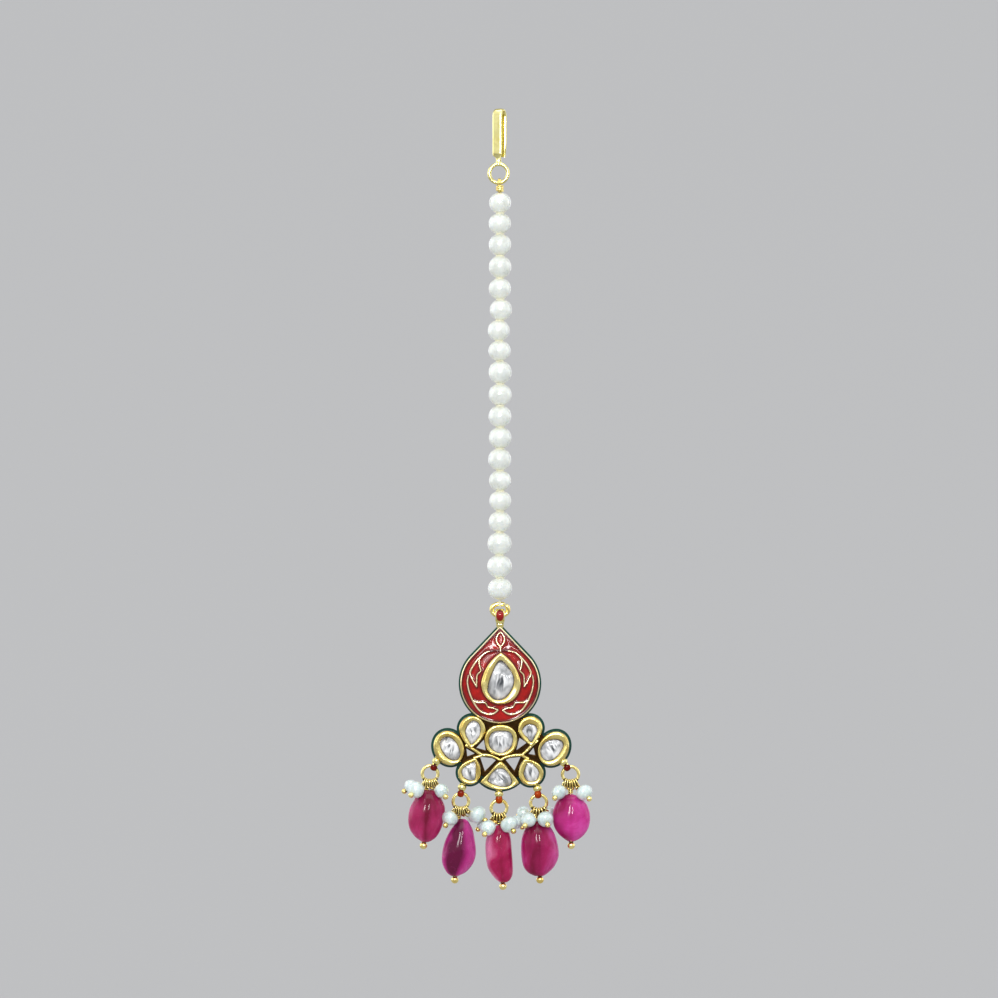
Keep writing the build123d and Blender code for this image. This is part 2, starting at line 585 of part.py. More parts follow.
def main():
    """Builds every piece and writes it."""
    os.makedirs(PARTS, exist_ok=True)
    save("hair_hook", make_hook())
    save("string_top_loop", make_top_loop())
    save("string_silk", make_silk())
    for number, pearl in enumerate(make_pearls(), 1):
        save(f"pearl_{number:02d}", pearl)
    save("string_end_ring", make_end_ring())

    hung = Pos(0, 0, APEX_Z)
    save("pendant_frame", hung * make_frame())
    save("red_enamel", hung * make_red_enamel())
    save("green_enamel_back", hung * make_green_enamel())
    save("bail_enamel", hung * bail_place() * enamel_tile(BAIL_OUTER, BAIL_TILE_WIDTH, BAIL_TILE_SHARE))
    tiles = [hung * lug_place(d) * enamel_tile(LUG_OUTER, LUG_TILE_WIDTH, LUG_TILE_SHARE) for d in DROPS]
    save("lug_enamels", Compound(children=tiles))
    for name in ["teardrop"] + CLUSTER:
        save(f"stone_{name}", hung * make_stone(name))

    for number, drop in enumerate(DROPS, 1):
        save(f"drop_{number}_ring", hung * make_jump_ring(drop))
        pins = [hung * ruby_pin(drop)] + [hung * seed_pin(drop, s) for s in drop.seeds]
        save(f"drop_{number}_pins", Compound(children=pins))
        save(f"drop_{number}_ruby", hung * make_ruby(drop))
        seeds = [hung * make_seed(drop, s) for s in drop.seeds]
        save(f"drop_{number}_seed_pearls", Compound(children=seeds))


main()
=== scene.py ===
"""Looks of a maang tikka: a hair hook, a string of pearls, and an enamelled pendant with stones and drops.

Shapes are worked out in millimetres in the jewel's own frame: +Z up, -Y towards the viewer, +X to the right.
"""
import json
import logging
import math
from dataclasses import dataclass, field
from enum import Enum
from typing import Iterable, Sequence

import bmesh
import bpy
import numpy as np
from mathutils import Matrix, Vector


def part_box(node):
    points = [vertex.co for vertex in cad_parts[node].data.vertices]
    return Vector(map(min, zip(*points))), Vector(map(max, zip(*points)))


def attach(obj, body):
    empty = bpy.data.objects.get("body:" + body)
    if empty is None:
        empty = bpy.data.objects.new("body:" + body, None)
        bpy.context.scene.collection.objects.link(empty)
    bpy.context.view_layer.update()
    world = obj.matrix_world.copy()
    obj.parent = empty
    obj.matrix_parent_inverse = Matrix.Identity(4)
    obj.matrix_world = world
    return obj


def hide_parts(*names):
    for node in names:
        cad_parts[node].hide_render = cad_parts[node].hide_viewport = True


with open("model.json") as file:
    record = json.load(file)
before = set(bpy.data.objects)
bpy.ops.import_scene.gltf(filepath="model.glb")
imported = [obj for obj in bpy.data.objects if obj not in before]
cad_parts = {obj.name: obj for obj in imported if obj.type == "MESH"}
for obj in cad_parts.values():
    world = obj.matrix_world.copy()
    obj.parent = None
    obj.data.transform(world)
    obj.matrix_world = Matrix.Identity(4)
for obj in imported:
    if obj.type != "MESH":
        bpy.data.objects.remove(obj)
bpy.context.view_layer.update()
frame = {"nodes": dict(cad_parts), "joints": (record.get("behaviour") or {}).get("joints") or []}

MM = 0.001
LOG = logging.getLogger("maang_tikka")
Array = np.ndarray
Pair = tuple[float, float]
Pairs = tuple[Pair, ...]
Triple = tuple[float, float, float]
Colour = Triple
Point = Sequence[float]
Socket = bpy.types.NodeSocket


class Body(Enum):
    """The three bodies that swing on each other."""

    HOOK = "hook"
    STRAND = "strand"
    PENDANT = "pendant"


# ---- curves and surfaces
def unit(vector: Point) -> Array:
    """Gives the vector at length one."""
    vector = np.asarray(vector, float)
    return vector / np.linalg.norm(vector)


def ease(value: Array | float, start: float, end: float) -> Array:
    """Rises smoothly from 0 at start to 1 at end, and stays flat outside them."""
    share = np.clip((np.asarray(value, float) - start) / (end - start), 0.0, 1.0)
    return share * share * (3.0 - 2.0 * share)


def full_turn(count: int) -> Array:
    """Gives angles in radians, evenly round a whole turn."""
    return np.linspace(0.0, 2 * math.pi, count, endpoint=False)


def smooth_curve(knots: Sequence[Point], count: int, closed: bool = False) -> Array:
    """Draws a smooth curve through a few knots.

    Args:
        knots: the points that the curve passes through, in order.
        count: how many points to give.
        closed: whether the curve returns to its first knot.

    Returns:
        The curve's points, evenly spaced along it.
    """
    p = np.asarray(knots, float)
    p = np.vstack([p[-1:], p, p[:2]]) if closed else np.vstack([2 * p[0] - p[1], p, 2 * p[-1] - p[-2]])
    spans = len(p) - 3
    steps = np.linspace(0.0, spans, 12 * spans + 1)
    first = np.minimum(steps.astype(int), spans - 1)
    f = (steps - first)[:, None]
    a, b, c, d = (p[first + k] for k in range(4))
    fine = 0.5 * (2 * b + (c - a) * f + (2 * a - 5 * b + 4 * c - d) * f**2 + (3 * b - a - 3 * c + d) * f**3)
    travelled = np.concatenate([[0.0], np.cumsum(np.linalg.norm(np.diff(fine, axis=0), axis=1))])
    wanted = np.linspace(0.0, travelled[-1], count, endpoint=not closed)
    return np.stack([np.interp(wanted, travelled, fine[:, k]) for k in range(p.shape[1])], axis=1)


def by_bearing(loop: Array, middle: Point, count: int) -> Array:
    """Respaces a closed flat loop evenly by its bearing from a point inside it.

    Args:
        loop: the loop's points.
        middle: the point inside it.
        count: how many points to give.

    Returns:
        The respaced loop.
    """
    offset = loop - np.asarray(middle, float)
    bearing = np.arctan2(offset[:, 1], offset[:, 0])
    order = np.argsort(bearing)
    reach = np.linalg.norm(offset, axis=1)[order]
    wanted = np.linspace(-math.pi, math.pi, count, endpoint=False)
    reach = np.interp(wanted, bearing[order], reach, period=2 * math.pi)
    return np.asarray(middle, float) + reach[:, None] * np.stack([np.cos(wanted), np.sin(wanted)], axis=1)


def oval(half_width: float, half_height: float, power: float = 2.0, count: int = 24) -> Array:
    """Gives a closed oval section.

    Args:
        half_width: half its width.
        half_height: half its height.
        power: 2 for an ellipse, and more for a squarer section.
        count: how many points to give.

    Returns:
        The section's points.
    """
    turn = full_turn(count)
    bend = 2.0 / power
    x = np.sign(np.cos(turn)) * np.abs(np.cos(turn)) ** bend
    y = np.sign(np.sin(turn)) * np.abs(np.sin(turn)) ** bend
    return np.stack([half_width * x, half_height * y], axis=1)


def sweep(path: Array, section: Array, closed: bool = False, side: Point | None = None,
          scale: Array | float = 1.0) -> Array:
    """Carries a flat section along a path.

    Args:
        path: the points of the path.
        section: the section's points; their first number goes along the side, the second across it.
        closed: whether the path is a loop.
        side: a fixed direction for the section's first number, or a vector for each point; without it the
            section is carried along without twisting.
        scale: a size for the section at each point, or a pair of sizes.

    Returns:
        One row of points for each point of the path.
    """
    if closed:
        tangents = np.roll(path, -1, axis=0) - np.roll(path, 1, axis=0)
    else:
        tangents = np.gradient(path, axis=0)
    tangents /= np.linalg.norm(tangents, axis=1)[:, None]
    if side is None:
        sides = np.empty_like(path)
        carried = unit(np.cross(tangents[0], (0.31, 0.9, 0.29)))
        for k, tangent in enumerate(tangents):
            carried = unit(carried - tangent * carried.dot(tangent))
            sides[k] = carried
    else:
        sides = np.broadcast_to(np.asarray(side, float), path.shape)
        sides = sides - tangents * np.sum(sides * tangents, axis=1)[:, None]
        sides = sides / np.linalg.norm(sides, axis=1)[:, None]
    others = np.cross(tangents, sides)
    sizes = np.asarray(scale, float)
    sizes = np.broadcast_to(sizes.reshape(-1, 1) if sizes.ndim == 1 else sizes, (len(path), 2))
    first = section[None, :, :1] * sizes[:, None, :1] * sides[:, None, :]
    second = section[None, :, 1:] * sizes[:, None, 1:] * others[:, None, :]
    return path[:, None, :] + first + second


def helix(start: Point, axis: Point, across: Point, radius: float, length: float, turns: float,
          per_turn: int = 18) -> Array:
    """Winds a coil.

    Args:
        start: the middle of its first turn.
        axis: the direction that it advances in.
        across: the direction, square to the axis, in which the wire starts.
        radius: the radius of its turns.
        length: how far it advances.
        turns: how many turns it makes.
        per_turn: how many points to give for a turn.

    Returns:
        The points of the coil.
    """
    axis, across = unit(axis), unit(across)
    other = np.cross(axis, across)
    turn = np.linspace(0.0, 2 * math.pi * turns, max(4, int(per_turn * turns)))[:, None]
    advance = np.linspace(0.0, length, len(turn))[:, None]
    round_it = np.cos(turn) * across + np.sin(turn) * other
    return np.asarray(start, float) + advance * axis + radius * round_it


def upright(flat: Array, depth: Array | float = 0.0) -> Array:
    """Stands flat (x, z) points up in the jewel's frame, at a depth along Y."""
    return np.stack([flat[..., 0], np.broadcast_to(depth, flat.shape[:-1]), flat[..., 1]], axis=-1)


@dataclass(frozen=True)
class Ripple:
    """A smooth, seeded unevenness in space, of about one either way."""

    size: float
    seed: int
    waves: int = 9

    def at(self, points: Array) -> Array:
        """Gives the unevenness at each point.

        Args:
            points: where, in millimetres.

        Returns:
            The height of the unevenness there.
        """
        rng = np.random.default_rng(self.seed)
        ways = rng.normal(size=(self.waves, 3))
        lengths = self.size * rng.uniform(0.8, 1.8, (self.waves, 1)) * np.linalg.norm(ways, axis=1)[:, None]
        ways *= 2 * math.pi / lengths
        phases = rng.uniform(0.0, 2 * math.pi, self.waves)
        return np.sin(np.asarray(points) @ ways.T + phases).sum(axis=-1) / math.sqrt(self.waves * 2)


@dataclass(frozen=True)
class Stand:
    """A place with its own directions: across, towards the viewer, and along."""

    origin: Array
    across: Array
    along: Array

    def place(self, points: Array) -> Array:
        """Takes points given as (across, forward, along) into the jewel's frame."""
        forward = np.cross(self.along, self.across)
        return self.origin + points @ np.stack([self.across, forward, self.along])


@dataclass
class Shape:
    """Surfaces gathered into one piece, in millimetres, each point with a mark that its finish may use."""

    points: list[Array] = field(default_factory=list)
    faces: list[tuple[int, ...]] = field(default_factory=list)
    marks: list[Array] = field(default_factory=list)
    count: int = 0

    def add(self, rows: Array, around: bool = True, along: bool = False, caps: bool = True,
            mark: Array | float = 0.0) -> "Shape":
        """Adds a surface made of rows of points.

        Args:
            rows: the points, by row and place in the row.
            around: whether each row is a closed ring.
            along: whether the last row joins the first.
            caps: whether the two end rings are closed.
            mark: one mark, or one for each point.

        Returns:
            This shape, so that calls can follow each other.
        """
        n, m = rows.shape[:2]
        index = np.arange(n * m).reshape(n, m) + self.count
        row_ends = n if along else n - 1
        column_ends = m if around else m - 1
        a = index[:row_ends, :column_ends]
        b = np.roll(index, -1, axis=1)[:row_ends, :column_ends]
        c = np.roll(np.roll(index, -1, axis=0), -1, axis=1)[:row_ends, :column_ends]
        d = np.roll(index, -1, axis=0)[:row_ends, :column_ends]
        self.faces += [tuple(q) for q in np.stack([a, b, c, d], axis=-1).reshape(-1, 4).tolist()]
        if caps and around and not along:
            self.faces += [tuple(index[0][::-1].tolist()), tuple(index[-1].tolist())]
        self.points.append(rows.reshape(-1, 3))
        self.marks.append(np.broadcast_to(np.asarray(mark, float), (n, m)).reshape(-1))
        self.count += n * m
        return self

    def tube(self, path: Array, radius: Array | float, sides: int = 12, closed: bool = False,
             flat: float = 1.0, side: Point | None = None, mark: Array | float = 0.0) -> "Shape":
        """Adds a round wire along a path.

        Args:
            path: the wire's middle line.
            radius: one radius, or one for each point.
            sides: how many points go round it.
            closed: whether it is a loop.
            flat: the section's height over its width.
            side: a direction that the section's width keeps to, as in sweep.
            mark: one mark, or one for each point of the path.

        Returns:
            This shape.
        """
        section = oval(1.0, flat, count=sides)
        rows = sweep(path, section, closed, side, scale=np.broadcast_to(radius, len(path)))
        marks = np.broadcast_to(np.reshape(mark, (-1, 1)), rows.shape[:2])
        return self.add(rows, along=closed, mark=marks)

    def turned(self, stand: Stand, profile: Sequence[Point], sides: int = 32, squash: float = 1.0,
               mark: Array | float = 0.0) -> "Shape":
        """Adds a turned form.

        Args:
            stand: where it stands; its profile goes along the stand's own direction.
            profile: (radius, distance along) pairs, from one end to the other.
            sides: how many points go round it.
            squash: a factor on its depth.
            mark: one mark, or one for each pair.

        Returns:
            This shape.
        """
        p = np.asarray(profile, float)
        turn = full_turn(sides)
        ring = np.stack([np.cos(turn), squash * np.sin(turn)], axis=1)
        rows = np.empty((len(p), sides, 3))
        rows[..., :2] = p[:, None, :1] * ring[None]
        rows[..., 2] = p[:, 1:]
        marks = np.broadcast_to(np.reshape(mark, (-1, 1)), rows.shape[:2])
        return self.add(stand.place(rows), mark=marks)

    def make(self, name: str, material: bpy.types.Material, body: Body, slot: str,
             replaces: Iterable[str] = (), crease: float = 48.0) -> None:
        """Makes the piece and fastens it.

        Args:
            name: the piece's plain name.
            material: its finish.
            body: the body that it moves with.
            slot: the record's slot for its finish; not used.
            replaces: the frame's nodes that it stands for.
            crease: the angle in degrees past which an edge stays sharp.
        """
        mesh = bpy.data.meshes.new(name)
        mesh.from_pydata((np.concatenate(self.points) * MM).tolist(), [], self.faces)
        marks = mesh.attributes.new("mark", "FLOAT", "POINT")
        marks.data.foreach_set("value", np.concatenate(self.marks).astype(np.float32))
        work = bmesh.new()
        work.from_mesh(mesh)
        bmesh.ops.recalc_face_normals(work, faces=work.faces[:])
        work.to_mesh(mesh)
        work.free()
        mesh.polygons.foreach_set("use_smooth", np.ones(len(mesh.polygons), bool))
        mesh.set_sharp_from_angle(angle=math.radians(crease))
        mesh.materials.append(material)
        piece = bpy.data.objects.new(name, mesh)
        bpy.context.scene.collection.objects.link(piece)
        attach(piece, body.value)
        if replaces:
            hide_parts(*replaces)
        LOG.info("%s: %d points on %s", name, len(mesh.vertices), body.value)

    def make_frame_gold(self, name: str, gold: "Gold", crease: float = 48.0) -> None:
        """Makes a part of the pendant's gold, which is all soldered as one frame.

        Args:
            name: the piece's plain name.
            gold: its finish.
            crease: the angle in degrees past which an edge stays sharp.
        """
        self.make(name, gold.material(), Body.PENDANT, "gold", ["pendant_frame"], crease)


# ---- finishes
class Graph:
    """A material's nodes, wired with short calls. Feature sizes are in millimetres."""

    def __init__(self, name: str) -> None:
        """Starts a material with one principled surface.

        Args:
            name: the material's name.
        """
        self.material = bpy.data.materials.new(name)
        self.material.use_nodes = True
        self.tree = self.material.node_tree
        self.tree.nodes.clear()
        self.surface = self.add("ShaderNodeBsdfPrincipled")
        self.output = self.add("ShaderNodeOutputMaterial")
        self.tree.links.new(self.surface.outputs[0], self.output.inputs["Surface"])
        self.place = self.add("ShaderNodeTexCoord").outputs["Object"]

    def add(self, kind: str, **settings: object) -> bpy.types.Node:
        """Adds a node and sets its properties.

        Args:
            kind: the node's type.
            settings: its properties.

        Returns:
            The node.
        """
        node = self.tree.nodes.new(kind)
        for name, value in settings.items():
            setattr(node, name, value)
        return node

    def feed(self, node: bpy.types.Node, name: str | int, value: object) -> None:
        """Links a socket into a node's input, or sets the input to a value.

        Args:
            node: the node.
            name: its input, by name or by place.
            value: a socket, or what to set the input to.
        """
        if isinstance(value, Socket):
            self.tree.links.new(value, node.inputs[name])
        elif isinstance(value, tuple) and len(value) == 3 and node.inputs[name].type == "RGBA":
            node.inputs[name].default_value = (*value, 1.0)
        else:
            node.inputs[name].default_value = value

    def set(self, **values: object) -> None:
        """Sets or links inputs of the surface.

        Args:
            values: the inputs, named with underscores for spaces.
        """
        for name, value in values.items():
            known = {socket.name.lower(): socket.name for socket in self.surface.inputs}
            self.feed(self.surface, known[name.replace("_", " ").lower()], value)

    def noise(self, size: float, detail: float = 3.0, distortion: float = 0.0,
              stretch: Point = (1.0, 1.0, 1.0), turn: Point = (0.0, 0.0, 0.0), shift: float = 0.0) -> Socket:
        """Gives a noise whose features are about size millimetres across.

        Args:
            size: the features' size.
            detail: how many finer octaves are added.
            distortion: how much it swirls.
            stretch: how fine they are along X, Y and Z; below 1 they are drawn out.
            turn: a turn about X, Y and Z in degrees, before the stretch.
            shift: an offset in metres, so that two noises differ.

        Returns:
            The noise's value, about 0.5 on average.
        """
        mapping = self.add("ShaderNodeMapping", vector_type="TEXTURE")
        self.feed(mapping, "Vector", self.place)
        mapping.inputs["Location"].default_value = (shift, 0.7 * shift, -0.4 * shift)
        mapping.inputs["Rotation"].default_value = tuple(math.radians(a) for a in turn)
        mapping.inputs["Scale"].default_value = tuple(1.0 / s for s in stretch)
        texture = self.add("ShaderNodeTexNoise")
        self.feed(texture, "Vector", mapping.outputs[0])
        self.feed(texture, "Scale", 1.0 / (size * MM))
        self.feed(texture, "Detail", detail)
        self.feed(texture, "Distortion", distortion)
        return texture.outputs[0]

    def mark(self) -> Socket:
        """Gives the mark that the piece's points carry."""
        return self.add("ShaderNodeAttribute", attribute_name="mark").outputs["Fac"]

    def ramp(self, factor: Socket, stops: Sequence[tuple[float, Colour]]) -> Socket:
        """Turns a value into a colour through a few stops.

        Args:
            factor: the value.
            stops: each stop's place and colour.

        Returns:
            The colour's socket.
        """
        node = self.add("ShaderNodeValToRGB")
        self.feed(node, "Fac", factor)
        for k, (position, colour) in enumerate(stops):
            stop = node.color_ramp.elements[k] if k < 2 else node.color_ramp.elements.new(position)
            stop.position = position
            stop.color = (*colour, 1.0)
        return node.outputs[0]

    def span(self, factor: Socket, low: float, high: float, to_low: float, to_high: float) -> Socket:
        """Takes a value from one range to another, held at its ends.

        Args:
            factor: the value.
            low: the first range's start.
            high: the first range's end.
            to_low: the second range's start.
            to_high: the second range's end.

        Returns:
            The new value's socket.
        """
        node = self.add("ShaderNodeMapRange")
        self.feed(node, "Value", factor)
        self.feed(node, "From Min", low)
        self.feed(node, "From Max", high)
        self.feed(node, "To Min", to_low)
        self.feed(node, "To Max", to_high)
        return node.outputs[0]

    def mix(self, factor: Socket | float, first: Socket | Colour, second: Socket | Colour) -> Socket:
        """Mixes two colours.

        Args:
            factor: how much of the second there is.
            first: the first colour.
            second: the second colour.

        Returns:
            The mixed colour's socket.
        """
        node = self.add("ShaderNodeMix", data_type="RGBA")
        self.feed(node, 0, factor)
        self.feed(node, 6, first)
        self.feed(node, 7, second)
        return node.outputs[2]

    def blend(self, factor: Socket, first: Socket, second: Socket) -> Socket:
        """Blends two whole surfaces.

        Args:
            factor: how much of the second there is.
            first: the first surface.
            second: the second surface.

        Returns:
            The blended surface's socket.
        """
        node = self.add("ShaderNodeMixShader")
        for k, socket in enumerate((factor, first, second)):
            self.tree.links.new(socket, node.inputs[k])
        return node.outputs[0]

    def bump(self, height: Socket, depth: float, under: Socket | None = None) -> Socket:
        """Gives the surface direction of a shallow relief.

        Args:
            height: the relief, from 0 to 1.
            depth: its depth in millimetres.
            under: another relief's direction, which it lies on.

        Returns:
            The direction's socket.
        """
        node = self.add("ShaderNodeBump")
        self.feed(node, "Height", height)
        self.feed(node, "Distance", depth * MM)
        if under is not None:
            self.feed(node, "Normal", under)
        return node.outputs[0]


class GoldWork(Enum):
    """How a stretch of gold was worked, as its unevenness in millimetres and how rough it is."""

    POLISHED = (0.002, 0.12)
    DRAWN = (0.004, 0.17)
    BURNISHED = (0.004, 0.2)


@dataclass(frozen=True)
class Gold:
    """High-carat yellow gold. A mark of 1 darkens it to the recess colour: painted shade in hollows, on
    slopes and between parts, with some patina where polish doesn't reach.
    """

    name: str
    work: GoldWork
    bright: Colour = (0.96, 0.82, 0.34)
    deep: Colour = (0.82, 0.62, 0.19)
    recess: Colour = (0.075, 0.032, 0.007)

    def material(self) -> bpy.types.Material:
        """Makes the material.

        Returns:
            The material.
        """
        relief, rough = self.work.value
        g = Graph(self.name)
        tone = g.ramp(g.noise(2.1, 2.0), [(0.34, self.deep), (0.58, self.bright)])
        grime = g.noise(0.5, 3.0, shift=0.02)
        # painted shade, with some patina: the mark darkens the gold towards the recess colour in hollows, on
        # slopes and between parts
        dimmed = g.span(g.mark(), 0.2, 0.9, 0.0, 0.95)
        g.set(base_color=g.mix(dimmed, tone, self.recess), metallic=1.0)
        g.set(roughness=g.span(grime, 0.3, 0.75, rough - 0.04, rough + 0.08))
        hammered = g.bump(g.noise(1.1, 1.0, 0.6, shift=0.05), relief)
        g.set(normal=g.bump(g.noise(0.2, 1.0, shift=0.09), relief * 0.06, hammered))
        return g.material


@dataclass(frozen=True)
class Nacre:
    """Pearl. A mark of 1 is at the drill hole, where the nacre is thin and warm; on the strung pearls this
    colour is also painted light that fills the shadow where two pearls meet.
    """

    name: str
    pale: Colour
    cloud: Colour
    drilled: Colour
    cloud_size: float = 2.4

    def material(self) -> bpy.types.Material:
        """Makes the material.

        Returns:
            The material.
        """
        g = Graph(self.name)
        body = g.ramp(g.noise(self.cloud_size, 2.0, 0.5), [(0.33, self.cloud), (0.6, self.pale)])
        g.set(base_color=g.mix(g.mark(), body, self.drilled))
        g.set(roughness=g.span(g.noise(0.7, 3.0, shift=0.03), 0.3, 0.7, 0.24, 0.34))
        g.set(subsurface_weight=0.45, subsurface_scale=0.0014, subsurface_radius=(1.0, 0.9, 0.7))
        g.set(coat_weight=1.0, coat_roughness=0.06, ior=1.6, specular_ior_level=0.85)
        g.set(sheen_weight=0.6, sheen_roughness=0.3)
        wrinkle = g.bump(g.noise(1.6, 1.0, shift=0.06), 0.006)
        g.set(normal=g.bump(g.noise(0.25, 1.0, shift=0.01), 0.0006, wrinkle))
        return g.material


@dataclass(frozen=True)
class Enamel:
    """Clear coloured glass fused over metal. A mark of 1 is where it thickens against a gold line; on the
    bail's and lugs' pillows the mark also carries painted shade towards the lower end.
    """

    name: str
    clear: Colour
    deep: Colour
    pool_and_shade: Colour
    gloss: float = 0.72

    def material(self) -> bpy.types.Material:
        """Makes the material.

        Returns:
            The material.
        """
        g = Graph(self.name)
        cloudy = g.ramp(g.noise(1.9, 3.0, 0.4), [(0.33, self.deep), (0.66, self.clear)])
        chased = g.noise(0.45, 2.0, 0.8, shift=0.04)
        depths = g.mix(g.span(chased, 0.45, 0.8, 0.0, 0.35), cloudy, self.deep)
        g.set(base_color=g.mix(g.span(g.mark(), 0.0, 1.0, 0.0, 0.85), depths, self.pool_and_shade))
        g.set(roughness=g.span(g.noise(0.8, 2.0, shift=0.07), 0.3, 0.7, 0.1, 0.2))
        g.set(coat_weight=self.gloss, coat_roughness=0.055, ior=1.5, specular_ior_level=0.02)
        g.set(normal=g.bump(g.noise(1.9, 1.0, shift=0.02), 0.005))
        return g.material


@dataclass(frozen=True)
class FoiledStone:
    """An uncut clear stone over crumpled silver foil. The mark rises from 0 at its heart to 1 at its edge."""

    name: str
    turn: float
    size: float
    shift: float
    dark: Colour = (0.07, 0.075, 0.085)
    grey: Colour = (0.34, 0.35, 0.36)
    pale: Colour = (0.66, 0.67, 0.68)
    white: Colour = (0.97, 0.975, 0.98)

    def material(self) -> bpy.types.Material:
        """Makes the material: painted reflections of the foil's broad folds, broken by painted glints in
        streaks that are strongest at the heart.

        Returns:
            The material.
        """
        g = Graph(self.name)
        lean = (0.0, self.turn, 0.0)
        # painted reflections: the foil's folds and streaks are drawn as grey and white glints in the colour
        folds = g.noise(self.size * 1.15, 1.0, 1.2, (1.0, 1.0, 0.6), lean, self.shift)
        streaks = g.noise(self.size * 0.42, 1.2, 0.5, (1.0, 1.0, 0.26), lean, self.shift + 0.03)
        foil = g.ramp(folds, [(0.33, self.grey), (0.7, self.white), (0.48, self.pale)])
        heart = g.span(g.mark(), 0.15, 0.6, 1.0, 0.06)
        glints = [(0.4, self.dark), (0.56, self.white), (0.45, self.grey), (0.5, self.pale)]
        broken = g.ramp(streaks, glints)
        lit = g.mix(heart, foil, broken)
        # painted shadow: a dark band along the stone's edge where it meets its collar
        g.set(base_color=g.mix(g.span(g.mark(), 0.85, 0.96, 0.0, 0.9), lit, self.dark), metallic=0.25)
        g.set(roughness=g.span(streaks, 0.3, 0.7, 0.08, 0.25))
        g.set(coat_weight=0.6, coat_roughness=0.02, ior=1.6, specular_ior_level=0.2)
        g.set(normal=g.bump(streaks, 0.05, g.bump(folds, 0.1)))
        return g.material


@dataclass(frozen=True)
class RubyGlass:
    """A polished, translucent pink-red stone with veils in it.

    The mark rises from 0 in its core to 1 where light fills it.
    """

    name: str
    core: Colour
    flesh: Colour
    glow: Colour
    turn: float
    shift: float

    def material(self) -> bpy.types.Material:
        """Makes the material.

        Returns:
            The material.
        """
        g = Graph(self.name)
        veils = g.noise(3.8, 1.0, 0.9, (1.0, 1.0, 0.45), (0.0, self.turn, 0.0), self.shift)
        depth = g.add("ShaderNodeMath", operation="ADD")
        g.feed(depth, 0, g.mark())
        g.feed(depth, 1, g.span(veils, 0.3, 0.7, -0.2, 0.2))
        body = g.ramp(depth.outputs[0], [(0.08, self.core), (0.95, self.glow), (0.5, self.flesh)])
        cracks = g.noise(1.3, 3.0, 2.2, (1.0, 1.0, 0.5), (0.0, self.turn + 25.0, 0.0), self.shift + 0.04)
        body = g.mix(g.span(cracks, 0.49, 0.5, 0.0, 1.0), body, g.mix(0.14, body, self.core))
        specks = g.noise(0.55, 3.0, 0.5, shift=self.shift + 0.02)
        g.set(base_color=g.mix(g.span(specks, 0.6, 0.82, 0.0, 0.15), body, self.glow))
        g.set(roughness=g.span(specks, 0.3, 0.7, 0.03, 0.07), ior=1.62, specular_ior_level=0.16)
        g.set(subsurface_weight=0.3, subsurface_scale=0.0014, subsurface_radius=(1.0, 0.2, 0.45))
        g.set(sheen_weight=0.42, sheen_roughness=0.2, sheen_tint=(1.0, 0.5, 0.72))
        g.set(normal=g.bump(g.noise(2.6, 1.0, shift=self.shift + 0.05), 0.02))
        return g.material


@dataclass(frozen=True)
class Silk:
    """Cream silk thread."""

    name: str = "cream silk"
    cream: Colour = (0.92, 0.91, 0.74)
    shaded: Colour = (0.82, 0.8, 0.58)

    def material(self) -> bpy.types.Material:
        """Makes the material.

        Returns:
            The material.
        """
        g = Graph(self.name)
        fibres = g.noise(0.12, 2.0, 0.0, (1.0, 1.0, 0.2))
        g.set(base_color=g.ramp(fibres, [(0.3, self.shaded), (0.7, self.cream)]), roughness=0.6)
        g.set(sheen_weight=0.4, sheen_roughness=0.4, normal=g.bump(fibres, 0.03))
        return g.material


RAYS_THAT_SEE = ("Is Camera Ray", "Is Glossy Ray", "Is Transmission Ray")


def ray_kinds(tree: bpy.types.NodeTree, kinds: Sequence[str]) -> Socket:
    """Gives 1 where a ray is of one of some kinds, and 0 elsewhere.

    Args:
        tree: the nodes that it is added to.
        kinds: the names of the Light Path node's outputs.

    Returns:
        The value's socket.
    """
    rays = tree.nodes.new("ShaderNodeLightPath")
    found = rays.outputs[kinds[0]]
    for kind in kinds[1:]:
        either = tree.nodes.new("ShaderNodeMath")
        either.operation = "MAXIMUM"
        tree.links.new(found, either.inputs[0])
        tree.links.new(rays.outputs[kind], either.inputs[1])
        found = either.outputs[0]
    return found


@dataclass(frozen=True)
class PaleSweep:
    """The matt pale paper of the backdrop.

    Its back lets light and sight through, so that the jewel shows from behind too. seen is the even tone that
    it mostly has for sight and mirrors, and evenness says how much; the rest of it takes the jewel's shadow.
    """

    name: str = "pale sweep"
    tone: Colour = (0.56, 0.56, 0.57)
    seen: Colour = (0.515, 0.52, 0.53)
    evenness: float = 0.9

    def material(self) -> bpy.types.Material:
        """Makes the material.

        Returns:
            The material.
        """
        g = Graph(self.name)
        grain = g.noise(60.0, 2.0)
        darker = tuple(0.97 * c for c in self.tone)
        g.set(base_color=g.ramp(grain, [(0.3, darker), (0.7, self.tone)]), roughness=0.9)
        even = g.add("ShaderNodeEmission")
        g.feed(even, "Color", self.seen)
        sight = g.span(ray_kinds(g.tree, RAYS_THAT_SEE), 0.0, 1.0, 0.0, self.evenness)
        lit = g.blend(sight, g.surface.outputs[0], even.outputs[0])
        clear = g.add("ShaderNodeBsdfTransparent")
        behind = g.add("ShaderNodeNewGeometry").outputs["Backfacing"]
        g.tree.links.new(g.blend(behind, lit, clear.outputs[0]), g.output.inputs["Surface"])
        return g.material


# ---- places read from the frame
def middle_of(node: str) -> Array:
    """Gives the middle of a node's box in millimetres."""
    low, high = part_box(node)
    return (np.array(low) + np.array(high)) / 2 / MM


def span_of(node: str) -> Array:
    """Gives a node's size along X, Y and Z in millimetres."""
    low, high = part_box(node)
    return (np.array(high) - np.array(low)) / MM


def pivot(joint: str) -> Array:
    """Gives a joint's place in millimetres."""
    found = next(j for j in frame["joints"] if j["name"] == joint)
    return np.array(found["pos_m"], float) / MM


